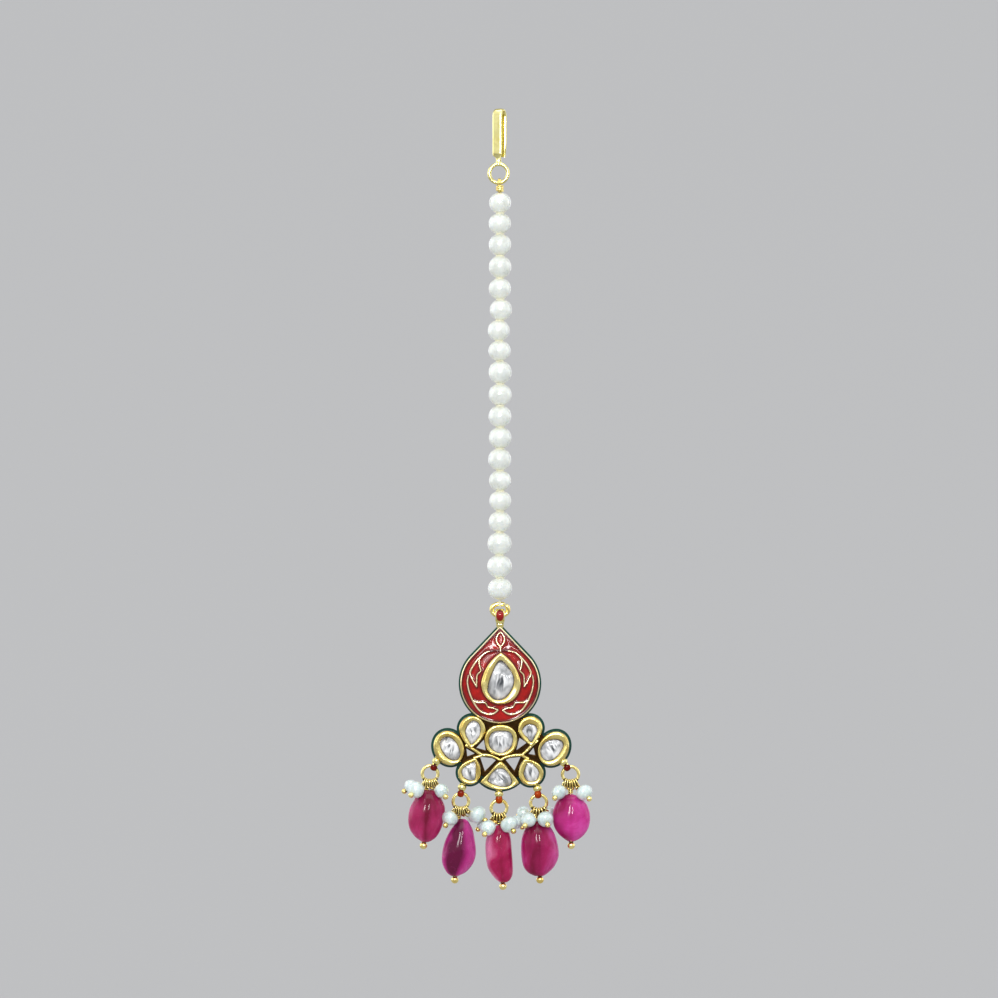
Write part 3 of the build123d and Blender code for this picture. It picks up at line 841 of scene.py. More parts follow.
def islands(node: str) -> list[Array]:
    """Finds the separate solids of a node.

    Args:
        node: the node's name.

    Returns:
        The points of each solid in millimetres, in an order that stays the same.
    """
    work = bmesh.new()
    work.from_mesh(frame["nodes"][node].data)
    bmesh.ops.remove_doubles(work, verts=work.verts[:], dist=1e-7)
    left = set(work.verts)
    found = []
    while left:
        stack = [left.pop()]
        group = []
        while stack:
            vertex = stack.pop()
            group.append(tuple(vertex.co))
            for edge in vertex.link_edges:
                other = edge.other_vert(vertex)
                if other in left:
                    left.remove(other)
                    stack.append(other)
        found.append(np.array(group) / MM)
    work.free()
    return sorted(found, key=lambda p: tuple(np.round(p.mean(axis=0), 3)))


SWING = pivot("strand_swing")
HANG = pivot("pendant_swing")
APEX_DROP = 2.1
APEX = HANG[2] - APEX_DROP
X_WAY = np.array([1.0, 0.0, 0.0])
Y_WAY = np.array([0.0, 1.0, 0.0])
Z_WAY = np.array([0.0, 0.0, 1.0])


def below_apex(places: Sequence[Point] | Array) -> Array:
    """Turns (x, depth below the apex) places into (x, z) points."""
    return np.asarray(places) * (1.0, -1.0) + (0.0, APEX)


# ---- hair hook
@dataclass
class HairHook:
    """A flat gold strap bent over into a hook, drawn in to a neck, with a ring soldered under it."""

    gold: Gold
    width: float = 1.8
    thick: float = 0.6
    opening: float = 1.65
    leg_x: float = -0.5
    twist: float = -22.0
    neck_z: float = -9.5
    tail_z: float = -8.3
    top_z: float = 0.62
    bend_drop: float = 0.31
    ring_radius: float = 1.69
    ring_wire: float = 0.36
    ring_unevenness: float = 0.012
    # how far above the foot of the neck the strap begins to twist, shift and widen, and where it has done so
    twist_rise: Pair = (0.2, 1.7)
    shift_rise: Pair = (0.9, 1.75)
    widen_rise: Pair = (1.2, 1.75)
    neck_share: float = 0.54
    hammering: float = 0.012
    # the solder between the neck and the ring: (radius, height)
    solder: Pairs = (
        (0.1, -0.5), (0.52, -0.4), (0.62, -0.2), (0.52, 0.05), (0.46, 0.4), (0.3, 0.6),
    )

    def strap(self) -> Array:
        """Bends the strap: up the front leg, over, and down the back leg.

        Returns:
            Its rows of points.
        """
        front, bent, back = 40, 26, 27
        bend = (self.opening + self.thick) / 2
        turn = np.linspace(math.pi, 0.0, bent)
        over_z = bend * np.sin(turn) - self.thick - self.bend_drop
        climb = np.linspace(0.0, 1.0, front, endpoint=False) ** 1.3
        front_z = self.neck_z + (over_z[0] - self.neck_z) * climb
        back_z = np.linspace(over_z[-1], self.tail_z, back + 1)[1:]
        y = np.concatenate([np.zeros(front), bend + bend * np.cos(turn), np.full(back, 2 * bend)])
        z = np.concatenate([front_z, over_z, back_z])
        z = z - (z.max() + self.thick / 2 - self.top_z)
        place = np.arange(len(z))
        rising = place < front + 20
        stretches = (self.twist_rise, self.shift_rise, self.widen_rise)
        twisting, shifting, widening = ([self.neck_z + rise for rise in stretch] for stretch in stretches)
        twist = np.radians(self.twist) * ease(z, *twisting) ** rising
        side = np.stack([np.cos(twist), np.sin(twist), np.zeros_like(z)], axis=1)
        x = np.where(rising, np.interp(z, shifting, [SWING[0], self.leg_x]), self.leg_x)
        path = np.stack([x - y * np.sin(twist), y * np.cos(twist), z], axis=1)
        neck = self.neck_share + (1.0 - self.neck_share) * ease(z, *widening)
        last = len(z) - 1
        wide = np.where(rising, neck, 1.0 - 0.18 * ease(place, last - 10, last))
        thick = 1.0 - 0.3 * ease(place, last - 6, last)
        section = oval(self.width / 2, self.thick / 2, 2.7, 52)
        return sweep(path, section, side=side, scale=np.stack([wide, thick], axis=1))

    def build(self) -> None:
        """Makes the hook."""
        shape = Shape()
        strap = self.strap()
        shape.add(strap + self.hammering * Ripple(3.0, 3).at(strap)[..., None] * Y_WAY)
        middle = SWING + (0.0, 0.0, self.ring_radius)
        turn = full_turn(96)
        reach = self.ring_radius * (1.0 + self.ring_unevenness * np.sin(2 * turn + 0.7))
        ring = middle + reach[:, None] * np.stack([np.sin(turn), 0 * turn, np.cos(turn)], axis=1)
        shape.tube(ring, self.ring_wire * (1.0 + 0.03 * np.sin(3 * turn)), 20, closed=True)
        foot = Stand(middle + (0.0, 0.0, self.ring_radius + 0.12), X_WAY, Z_WAY)
        shape.turned(foot, self.solder, 24, squash=0.74)
        shape.make("hair_hook_strap_and_ring", self.gold.material(), Body.HOOK, "gold", ["hair_hook"])


# ---- string of pearls
@dataclass
class PearlString:
    """The tied loop at the top, the silk, nineteen pearls, and the oval ring at the foot."""

    gold: Gold
    nacre: Nacre
    silk: Silk
    wire: float = 0.17
    loop_radius: float = 0.66
    loop_x: float = -0.36
    loop_turns: float = 2.08
    loop_width: float = 0.48
    wrap_x: float = -0.02
    wrap_drop: float = 0.6
    wrap_radius: float = 0.56
    wrap_turns: float = 3.2
    wrap_height: float = 0.95
    # the core inside the wraps: (radius, distance below their top)
    wrap_core: Pairs = (
        (0.2, -0.2), (0.42, -0.1), (0.5, 0.2), (0.5, 0.9), (0.38, 1.1), (0.26, 1.2),
    )
    plies: int = 3
    ply: float = 0.135
    ply_lay: float = 1.5
    silk_foot: float = 2.7
    # the silk knot between two pearls: (radius, height)
    knot: Pairs = (
        (0.2, -0.28), (0.5, -0.24), (0.72, -0.12), (0.77, 0.0), (0.72, 0.12), (0.5, 0.24), (0.2, 0.28),
    )
    pearls: int = 19
    hole: float = 0.3
    fullness: float = 1.02
    overlap: float = 0.07
    pearl_unevenness: float = 0.008
    ring_wire: float = 0.42
    seam_at: float = 52.0
    seam_gap: float = 0.035

    def top_loop(self) -> None:
        """Makes the wire that goes twice round the hook's ring, and its wraps."""
        shape = Shape()
        start = np.array([self.loop_x, 0.0, SWING[2]])
        loop = helix(start, X_WAY, -Z_WAY, self.loop_radius, self.loop_width, self.loop_turns, 30)
        shape.tube(loop, self.wire, 12)
        top = np.array([self.wrap_x, 0.0, SWING[2] - self.wrap_drop])
        wraps = helix(top, -Z_WAY, X_WAY, self.wrap_radius, self.wrap_height, self.wrap_turns, 26)
        shape.tube(wraps, self.wire * 1.02, 12)
        # painted shade on the core inside the wraps
        shape.turned(Stand(top, X_WAY, -Z_WAY), self.wrap_core, 20, mark=0.5)
        shape.make("string_top_loop_wire", self.gold.material(), Body.STRAND, "gold", ["string_top_loop"])

    def thread(self) -> None:
        """Twists the silk's plies, loops them round the end ring, and ties a knot between each two pearls."""
        top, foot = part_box("string_silk")[1][2] / MM, HANG[2] + self.silk_foot
        shape = Shape()
        turns = (top - foot) / self.ply_lay
        for ply in range(self.plies):
            start = 2 * math.pi * ply / self.plies
            across = (math.cos(start), math.sin(start), 0.0)
            shape.tube(helix((0.0, 0.0, top), -Z_WAY, across, 0.13, top - foot, turns, 9), self.ply, 7)
        ring_top = middle_of("string_end_ring")[2] + span_of("string_end_ring")[2] / 2 - self.ring_wire
        for k in range(2):
            start = (-0.16 + 0.2 * k, 0.0, ring_top)
            shape.tube(helix(start, X_WAY, Z_WAY, self.ring_wire + 0.11, 0.1, 1.0, 28), 0.1, 8)
        for number in range(1, self.pearls):
            between = (middle_of(f"pearl_{number:02d}") + middle_of(f"pearl_{number + 1:02d}")) / 2
            shape.turned(Stand(between, X_WAY, Z_WAY), self.knot, 24)
        shape.make("string_silk_plies", self.silk.material(), Body.STRAND, "silk", ["string_silk"])

    def pearl(self, number: int, material: bpy.types.Material) -> None:
        """Makes one pearl: nearly round, with a dimple at each end of its drill hole.

        Args:
            number: its place from the top, from 1.
            material: its nacre.
        """
        node = f"pearl_{number:02d}"
        middle, size = middle_of(node), span_of(node)
        tilt = np.linspace(0.0, math.pi, 40)
        radius = np.maximum(np.sin(tilt), 0.0) ** 0.95 * size[0] / 2 * self.fullness
        height = np.sign(np.cos(tilt)) * np.abs(np.cos(tilt)) ** 0.97 * (size[2] / 2 + self.overlap)
        dimple = 0.05 * np.exp(-((radius / 0.42) ** 2))
        height -= np.sign(height) * dimple
        profile = np.stack([radius, -height], axis=1)[radius > self.hole]
        bore = self.hole * 0.85
        profile = np.vstack([[bore, profile[0, 1] + 0.25], profile, [bore, profile[-1, 1] - 0.25]])
        # partly painted light: the warm, pale drilled colour also lightens the shadow where two pearls meet
        warm = 0.95 * np.exp(-((profile[:, 0] / 1.12) ** 2))
        shape = Shape().turned(Stand(middle, X_WAY, Z_WAY), profile, 56, mark=warm)
        points = shape.points[0]
        out = points - middle
        swell = 1.0 + self.pearl_unevenness * Ripple(3.2, 40 + number).at(points)
        shape.points[0] = middle + out * swell[:, None]
        shape.make(f"string_{node}", material, Body.STRAND, "pearl", [node], crease=70.0)

    def end_ring(self) -> None:
        """Makes the oval ring, closed by hand with a fine seam at its shoulder."""
        middle, size = middle_of("string_end_ring"), span_of("string_end_ring")
        half_x, half_z = size[0] / 2 - self.ring_wire, size[2] / 2 - self.ring_wire
        count = 90
        seam = math.radians(self.seam_at)
        turn = np.linspace(seam + self.seam_gap, seam + 2 * math.pi - self.seam_gap, count)
        squared = oval(1.0, 1.0, 2.3, 720)
        bearing = np.arctan2(squared[:, 1], squared[:, 0])
        reach = np.interp(turn, bearing, np.linalg.norm(squared, axis=1), period=2 * math.pi)
        x, z = half_x * reach * np.cos(turn), half_z * reach * np.sin(turn)
        path = middle + np.stack([x, 0 * turn, z], axis=1)
        from_end = np.minimum(np.arange(count), np.arange(count)[::-1])
        ends = 1.0 - 0.25 * (1 - ease(from_end, 0, 3))
        shape = Shape().tube(path, self.ring_wire * ends * (1 + 0.02 * np.sin(5 * turn)), 20)
        shape.make("string_end_ring_wire", self.gold.material(), Body.STRAND, "gold", ["string_end_ring"])

    def build(self) -> None:
        """Makes the whole string."""
        self.top_loop()
        self.thread()
        nacre = self.nacre.material()
        for number in range(1, self.pearls + 1):
            self.pearl(number, nacre)
        self.end_ring()


# ---- settings
@dataclass(frozen=True)
class Setting:
    """A stone and its gold collar. Places are (x, depth below the teardrop's apex).

    stone holds the uneven outline that shows inside the collar, and streak is the lean of its foil's streaks.
    middle, radius, tip, side and lean give the collar: a drop's bulb radius, the reach of its tip from the
    bulb's middle, the radius of its bowed sides, and its lean in degrees clockwise. Without a side it is an
    oval of radius by tip, and a rim gives the corners of a collar of another form.
    """

    name: str
    stone: Pairs
    streak: float
    middle: Pair = (0.0, 0.0)
    radius: float = 0.0
    tip: float = 0.0
    side: float = 0.0
    lean: float = 0.0
    rim: Pairs = ()
    crest: float = -1.15
    table: float = -0.78
    square: float = 2.0

    def collar_loop(self, count: int) -> Array:
        """Draws the collar's outer edge in the jewel's frame, evenly by bearing.

        Args:
            count: how many points to give.

        Returns:
            The edge as (x, z) points.
        """
        if self.rim:
            return by_bearing(smooth_curve(below_apex(self.rim), 480, closed=True), self.heart(), count)
        if self.side:
            reach = self.side - self.radius
            swing = math.asin((self.side**2 - self.tip**2 - reach**2) / (2 * self.tip * reach))
            rise = math.asin((self.tip + reach * math.sin(swing)) / self.side)
            bulb = np.linspace(-math.pi - swing, swing, 160)
            bow = np.linspace(swing, rise, 80)[1:]
            right = self.side * np.stack([np.cos(bow), np.sin(bow)], axis=1)
            right -= reach * np.array([math.cos(swing), math.sin(swing)])
            left = right[::-1][1:] * (-1.0, 1.0)
            flat = np.vstack([self.radius * np.stack([np.cos(bulb), np.sin(bulb)], axis=1), right, left])
        else:
            flat = oval(self.radius, self.tip, self.square, 720)
        lean = -math.radians(self.lean)
        turned = flat @ np.array([[math.cos(lean), math.sin(lean)], [-math.sin(lean), math.cos(lean)]])
        placed = turned + (self.middle[0], APEX - self.middle[1])
        return by_bearing(placed, self.heart(), count)

    def heart(self) -> Array:
        """Gives a point well inside both the stone and the collar."""
        x, depth = np.mean(np.asarray(self.stone), axis=0)
        return np.array([x, APEX - depth])

    def stone_loop(self, count: int, grow: float = 0.0) -> Array:
        """Draws the stone's visible edge, evenly by bearing.

        Args:
            count: how many points to give.
            grow: how far outwards it is grown.

        Returns:
            The edge as (x, z) points.
        """
        loop = by_bearing(smooth_curve(below_apex(self.stone), 360, closed=True), self.heart(), count)
        out = loop - self.heart()
        return loop + out / np.linalg.norm(out, axis=1)[:, None] * grow


# a burnished collar's section: share of the way from stone to rim, how far up the crest, and its painted
# shade, dark on both slopes so that only the crest is bright
COLLAR_SECTION = (
    (-0.05, 0.30, 1.0), (0.0, 0.50, 0.95), (0.05, 0.68, 0.65), (0.11, 0.80, 0.32), (0.2, 0.88, 0.12),
    (0.3, 0.93, 0.0), (0.4, 0.965, 0.0), (0.5, 0.99, 0.0), (0.6, 1.0, 0.0), (0.7, 0.985, 0.0),
    (0.79, 0.93, 0.0), (0.87, 0.82, 0.12), (0.93, 0.66, 0.34), (0.975, 0.42, 0.65), (1.0, 0.1, 0.9),
)
# the painted shade on the collar's wall, its back edge and its inside
WALL_SHADES = (0.35, 0.3, 0.9)


def add_collar(shape: Shape, setting: Setting, back: float, seed: int, count: int = 150) -> None:
    """Adds a setting's gold: its burnished collar, its outer wall, and its back.

    Args:
        shape: the piece that it becomes part of.
        setting: the setting.
        back: the depth of the back along Y.
        seed: varies the burnisher's strokes.
        count: how many points go round it.
    """
    inner, outer = setting.stone_loop(count), setting.collar_loop(count)
    foot = setting.table + 0.3
    rows, marks = [], []
    for share, rise, shade in COLLAR_SECTION:
        row = upright(inner + (outer - inner) * share, foot + (setting.crest - foot) * rise)
        row[:, 1] += 0.05 * Ripple(3.4, seed).at(row) * ease(share, -0.1, 0.3)
        wander = 0.06 * Ripple(3.0, seed + 90).at(row) * math.sin(math.pi * min(max(share, 0.0), 1.0))
        row[:, [0, 2]] += wander[:, None] * unit((1.0, 1.0))
        rows.append(row)
        marks.append(np.full(count, shade))
    rows += [upright(outer, back * 0.4), upright(outer, back), upright(inner, back)]
    marks += [np.full(count, shade) for shade in WALL_SHADES]
    shape.add(np.array(rows), along=True, mark=np.array(marks))


def make_stone(setting: Setting, finish: FoiledStone, seed: int, count: int = 120, rings: int = 30) -> None:
    """Makes a flat uncut stone: a level table and a few uneven slopes, tucked under its collar.

    Args:
        setting: the setting that holds it.
        finish: its look.
        seed: varies its slopes.
        count: how many points go round it.
        rings: how many rings of points it has.
    """
    edge = setting.stone_loop(count, 0.16)
    heart = setting.heart()
    rng = np.random.default_rng(seed)
    share = np.linspace(0.02, 1.0, rings)[:, None, None]
    flat = heart + (edge - heart)[None] * share
    reach = np.linalg.norm(edge - heart, axis=1).mean()
    height = np.full(flat.shape[:2], 0.0)
    slopes = 7
    for bearing in np.arange(slopes) * 2 * math.pi / slopes + rng.uniform(-0.35, 0.35, slopes):
        way = np.array([math.cos(bearing), math.sin(bearing)])
        drop = (flat - heart) @ way - reach * rng.uniform(0.42, 0.72)
        height = np.maximum(height, drop * rng.uniform(0.28, 0.5))
    rows = upright(flat, setting.table + height)
    rows[..., 1] += 0.025 * Ripple(1.6, seed + 7).at(rows)
    mark = np.broadcast_to(share[..., 0], rows.shape[:2])
    under = upright(edge, 0.0)[None]
    shape = Shape().add(np.concatenate([rows, under]), mark=np.vstack([mark, np.ones((1, count))]))
    stone = f"stone_{setting.name}"
    shape.make(f"{stone}_slice", finish.material(), Body.PENDANT, "polki_stone", [stone], crease=24.0)


MAIN_STONE = Setting(
    "teardrop",
    ((-0.45, 6.35), (0.25, 6.05), (1.1, 6.75), (2.26, 8.5), (2.55, 9.65), (2.26, 11.0), (1.4, 12.35),
     (0.36, 13.1), (-0.85, 13.16), (-1.82, 12.4), (-2.26, 11.35), (-1.8, 9.3), (-1.15, 7.7)),
    streak=8.0, crest=-2.42, table=-2.02, middle=(0.16, 10.4), radius=3.64, tip=5.86, side=8.0,
)
CLUSTER = (
    Setting(
        "centre",
        ((-1.3, 19.1), (0.15, 18.86), (1.72, 19.05), (2.32, 20.15), (2.05, 21.7), (1.16, 22.55),
         (0.08, 22.95), (-1.16, 22.45), (-1.9, 21.55), (-1.98, 20.3)),
        streak=2.0, square=2.15, middle=(0.17, 20.55), radius=3.06, tip=2.9,
    ),
    Setting(
        "upper_left",
        ((-6.25, 18.75), (-5.7, 17.6), (-4.88, 17.0), (-3.95, 17.42), (-3.55, 18.5), (-3.76, 19.73),
         (-4.38, 20.64), (-5.17, 21.3), (-5.74, 20.47), (-6.18, 19.64)),
        streak=-22.0, middle=(-5.02, 18.6), radius=2.46, tip=3.52, side=6.0, lean=186.0,
    ),
    Setting(
        "upper_right",
        ((4.05, 18.74), (4.55, 18.0), (5.45, 17.68), (6.42, 17.97), (6.78, 18.74), (6.36, 19.73),
         (5.7, 20.85), (4.96, 20.06), (4.32, 19.4)),
        streak=16.0, middle=(5.47, 18.42), radius=2.27, tip=3.28, side=6.0, lean=176.0,
    ),
    Setting(
        "outer_left",
        ((-10.9, 21.3), (-10.55, 20.36), (-9.75, 19.96), (-8.82, 20.16), (-8.0, 20.97), (-7.42, 22.12),
         (-7.25, 23.26), (-7.8, 24.12), (-8.68, 24.17), (-9.66, 23.6), (-10.46, 22.54)),
        streak=14.0, middle=(-9.27, 22.0), radius=2.78, tip=3.22, lean=-22.0,
    ),
    Setting(
        "outer_right",
        ((7.34, 22.45), (7.74, 21.46), (8.7, 20.67), (10.0, 20.42), (11.14, 20.68), (11.52, 21.46),
         (11.14, 22.45), (10.31, 23.5), (9.33, 24.2), (8.36, 24.24), (7.58, 23.6)),
        streak=-28.0, middle=(9.71, 22.12), radius=2.72, tip=3.3, lean=32.0,
    ),
    Setting(
        "lower_left",
        ((-6.94, 26.1), (-6.36, 25.4), (-5.54, 24.93), (-4.68, 24.5), (-4.4, 25.51), (-4.45, 26.75),
         (-4.65, 27.74), (-5.54, 27.86), (-6.43, 27.4), (-6.88, 26.8)),
        streak=-6.0, middle=(-5.53, 26.5), radius=2.14, tip=2.98, side=5.0, lean=23.0,
    ),
    Setting(
        "lower_right",
        ((4.32, 26.75), (4.55, 25.76), (4.93, 24.9), (5.54, 24.68), (6.27, 25.25), (6.92, 26.0),
         (7.08, 26.83), (6.7, 27.7), (5.87, 28.08), (4.9, 27.84)),
        streak=-16.0, middle=(5.6, 26.55), radius=2.32, tip=2.92, side=5.0, lean=-25.0,
    ),
    Setting(
        "fan",
        ((-2.2, 27.75), (-1.44, 26.48), (-0.55, 25.78), (0.41, 25.66), (1.22, 26.22), (1.88, 27.25),
         (2.14, 28.2), (1.65, 28.84), (0.41, 29.02), (-0.9, 28.72), (-1.85, 28.25)),
        streak=-35.0,
        rim=((0.12, 24.35), (1.85, 26.2), (3.42, 28.05), (3.2, 28.55), (1.7, 29.32), (0.0, 29.6),
             (-1.7, 29.25), (-3.3, 28.4), (-3.5, 27.9), (-1.75, 26.15)),
    ),
)


@dataclass
class Openwork:
    """The cluster under the teardrop: eight settings and the ribs between them, soldered as one."""

    gold: Gold
    shadowed: Gold
    back: float = 0.9
    rib_wide: float = 0.3
    rib_high: float = 0.3
    rib_front: float = -0.86
    plate_front: float = 0.3
    plate_bevel: float = 0.1
    foil_folds: float = 1.35
    # corners as (x, depth below the apex); the plate's own lie under the settings
    plate_corners: Pairs = (
        (-5.0, 16.6), (5.4, 16.6), (9.5, 22.1), (5.6, 26.6), (0.2, 28.0), (-5.5, 26.5), (-9.2, 22.0),
    )
    windows: tuple[Pairs, ...] = (
        ((-4.30, 22.00), (-2.95, 20.55), (-2.62, 22.45)),
        ((3.55, 20.20), (4.85, 21.10), (2.98, 22.42)),
        ((-6.10, 22.15), (-4.60, 23.05), (-5.95, 23.55)),
        ((6.10, 22.00), (6.38, 23.30), (5.20, 23.12)),
        ((-3.62, 23.64), (-1.50, 23.88), (-0.75, 24.25), (-2.75, 26.25)),
        ((1.05, 24.22), (1.80, 23.88), (3.72, 23.68), (2.62, 26.15)),
    )
    ribs: tuple[Pairs, ...] = (
        ((-3.22, 23.28), (-2.0, 23.3), (-0.75, 23.75), (0.08, 24.2)),
        ((0.08, 24.2), (0.95, 23.72), (2.4, 23.34), (3.95, 23.28)),
        ((-3.22, 23.28), (-4.3, 22.6), (-5.3, 21.95), (-6.3, 21.5)),
        ((3.95, 23.28), (4.88, 22.45), (5.87, 21.46), (6.9, 20.6)),
        ((-3.22, 23.28), (-3.9, 23.55), (-4.8, 23.85)),
        ((3.95, 23.28), (4.5, 23.65), (5.2, 24.0)),
    )

    def plate_mesh(self) -> bpy.types.Mesh:
        """Fills the plate's outline round its windows, soft at every edge.

        Returns:
            The filled mesh. It lies flat in millimetres, and the apex is at its origin.
        """
        flat = bpy.data.curves.new("plate outline", "CURVE")
        flat.dimensions = "2D"
        flat.fill_mode = "BOTH"
        for corners in (self.plate_corners, *self.windows):
            line = flat.splines.new("POLY")
            line.points.add(len(corners) - 1)
            for point, (x, depth) in zip(line.points, corners):
                point.co = (x, -depth, 0.0, 1.0)
            line.use_cyclic_u = True
        flat.extrude = (self.back - self.plate_front) / 2 - self.plate_bevel
        flat.bevel_depth = self.plate_bevel
        flat.offset = -self.plate_bevel
        flat.bevel_resolution = 2
        pattern = bpy.data.objects.new("plate outline", flat)
        filled = bpy.data.meshes.new_from_object(pattern)
        bpy.data.objects.remove(pattern)
        bpy.data.curves.remove(flat)
        return filled

    def plate(self) -> None:
        """Makes the plate between the settings, with its three-cornered windows, in near-black gold as
        painted shade between the collars.
        """
        filled = self.plate_mesh()
        points = np.empty(len(filled.vertices) * 3)
        filled.vertices.foreach_get("co", points)
        x, up, out = points.reshape(-1, 3).T
        middle = (self.back + self.plate_front) / 2
        shape = Shape()
        shape.points = [np.stack([x, middle - out, APEX + up], axis=1)]
        shape.faces = [tuple(face.vertices) for face in filled.polygons]
        shape.marks = [np.ones(len(x))]
        bpy.data.meshes.remove(filled)
        shape.make_frame_gold("openwork_plate", self.shadowed)

    def collars(self) -> None:
        """Makes the eight collars as one piece."""
        shape = Shape()
        for number, setting in enumerate(CLUSTER):
            add_collar(shape, setting, self.back, 100 + number)
        shape.make_frame_gold("openwork_collars", self.gold)

    def lattice(self) -> None:
        """Makes the ribs, rounded on top and as deep as the collars."""
        shape = Shape()
        wide, high, foot = self.rib_wide, self.rib_high, self.back - 0.1
        turn = np.linspace(0.0, math.pi, 9)
        crown = [(wide * math.cos(a), self.rib_front + high - high * math.sin(a)) for a in turn]
        section = np.array([*crown, (-wide, foot), (wide, foot)])
        # painted shade on the ribs' deeper parts, behind the crown
        shades = np.where(section[:, 1] > -0.4, 0.9, 0.0)
        for number, rib in enumerate(self.ribs):
            line = smooth_curve(below_apex(rib), 26)
            path = upright(line, 0.0)
            tangents = np.gradient(path, axis=0)
            sides = np.cross(tangents, Y_WAY)
            sides /= np.linalg.norm(sides, axis=1)[:, None]
            rows = path[:, None] + section[None, :, :1] * sides[:, None] + section[None, :, 1:] * Y_WAY
            rows[..., 1] += 0.05 * Ripple(1.3, 200 + number).at(rows)
            shape.add(rows, mark=np.broadcast_to(shades, rows.shape[:2]))
        shape.make_frame_gold("openwork_ribs", self.gold)

    def build(self) -> None:
        """Makes the gold and then the stones."""
        self.plate()
        self.collars()
        self.lattice()
        for number, setting in enumerate(CLUSTER):
            name = f"foiled stone {setting.name}"
            foil = FoiledStone(name, setting.streak, self.foil_folds, 0.013 * (number + 1))
            make_stone(setting, foil, 300 + number)


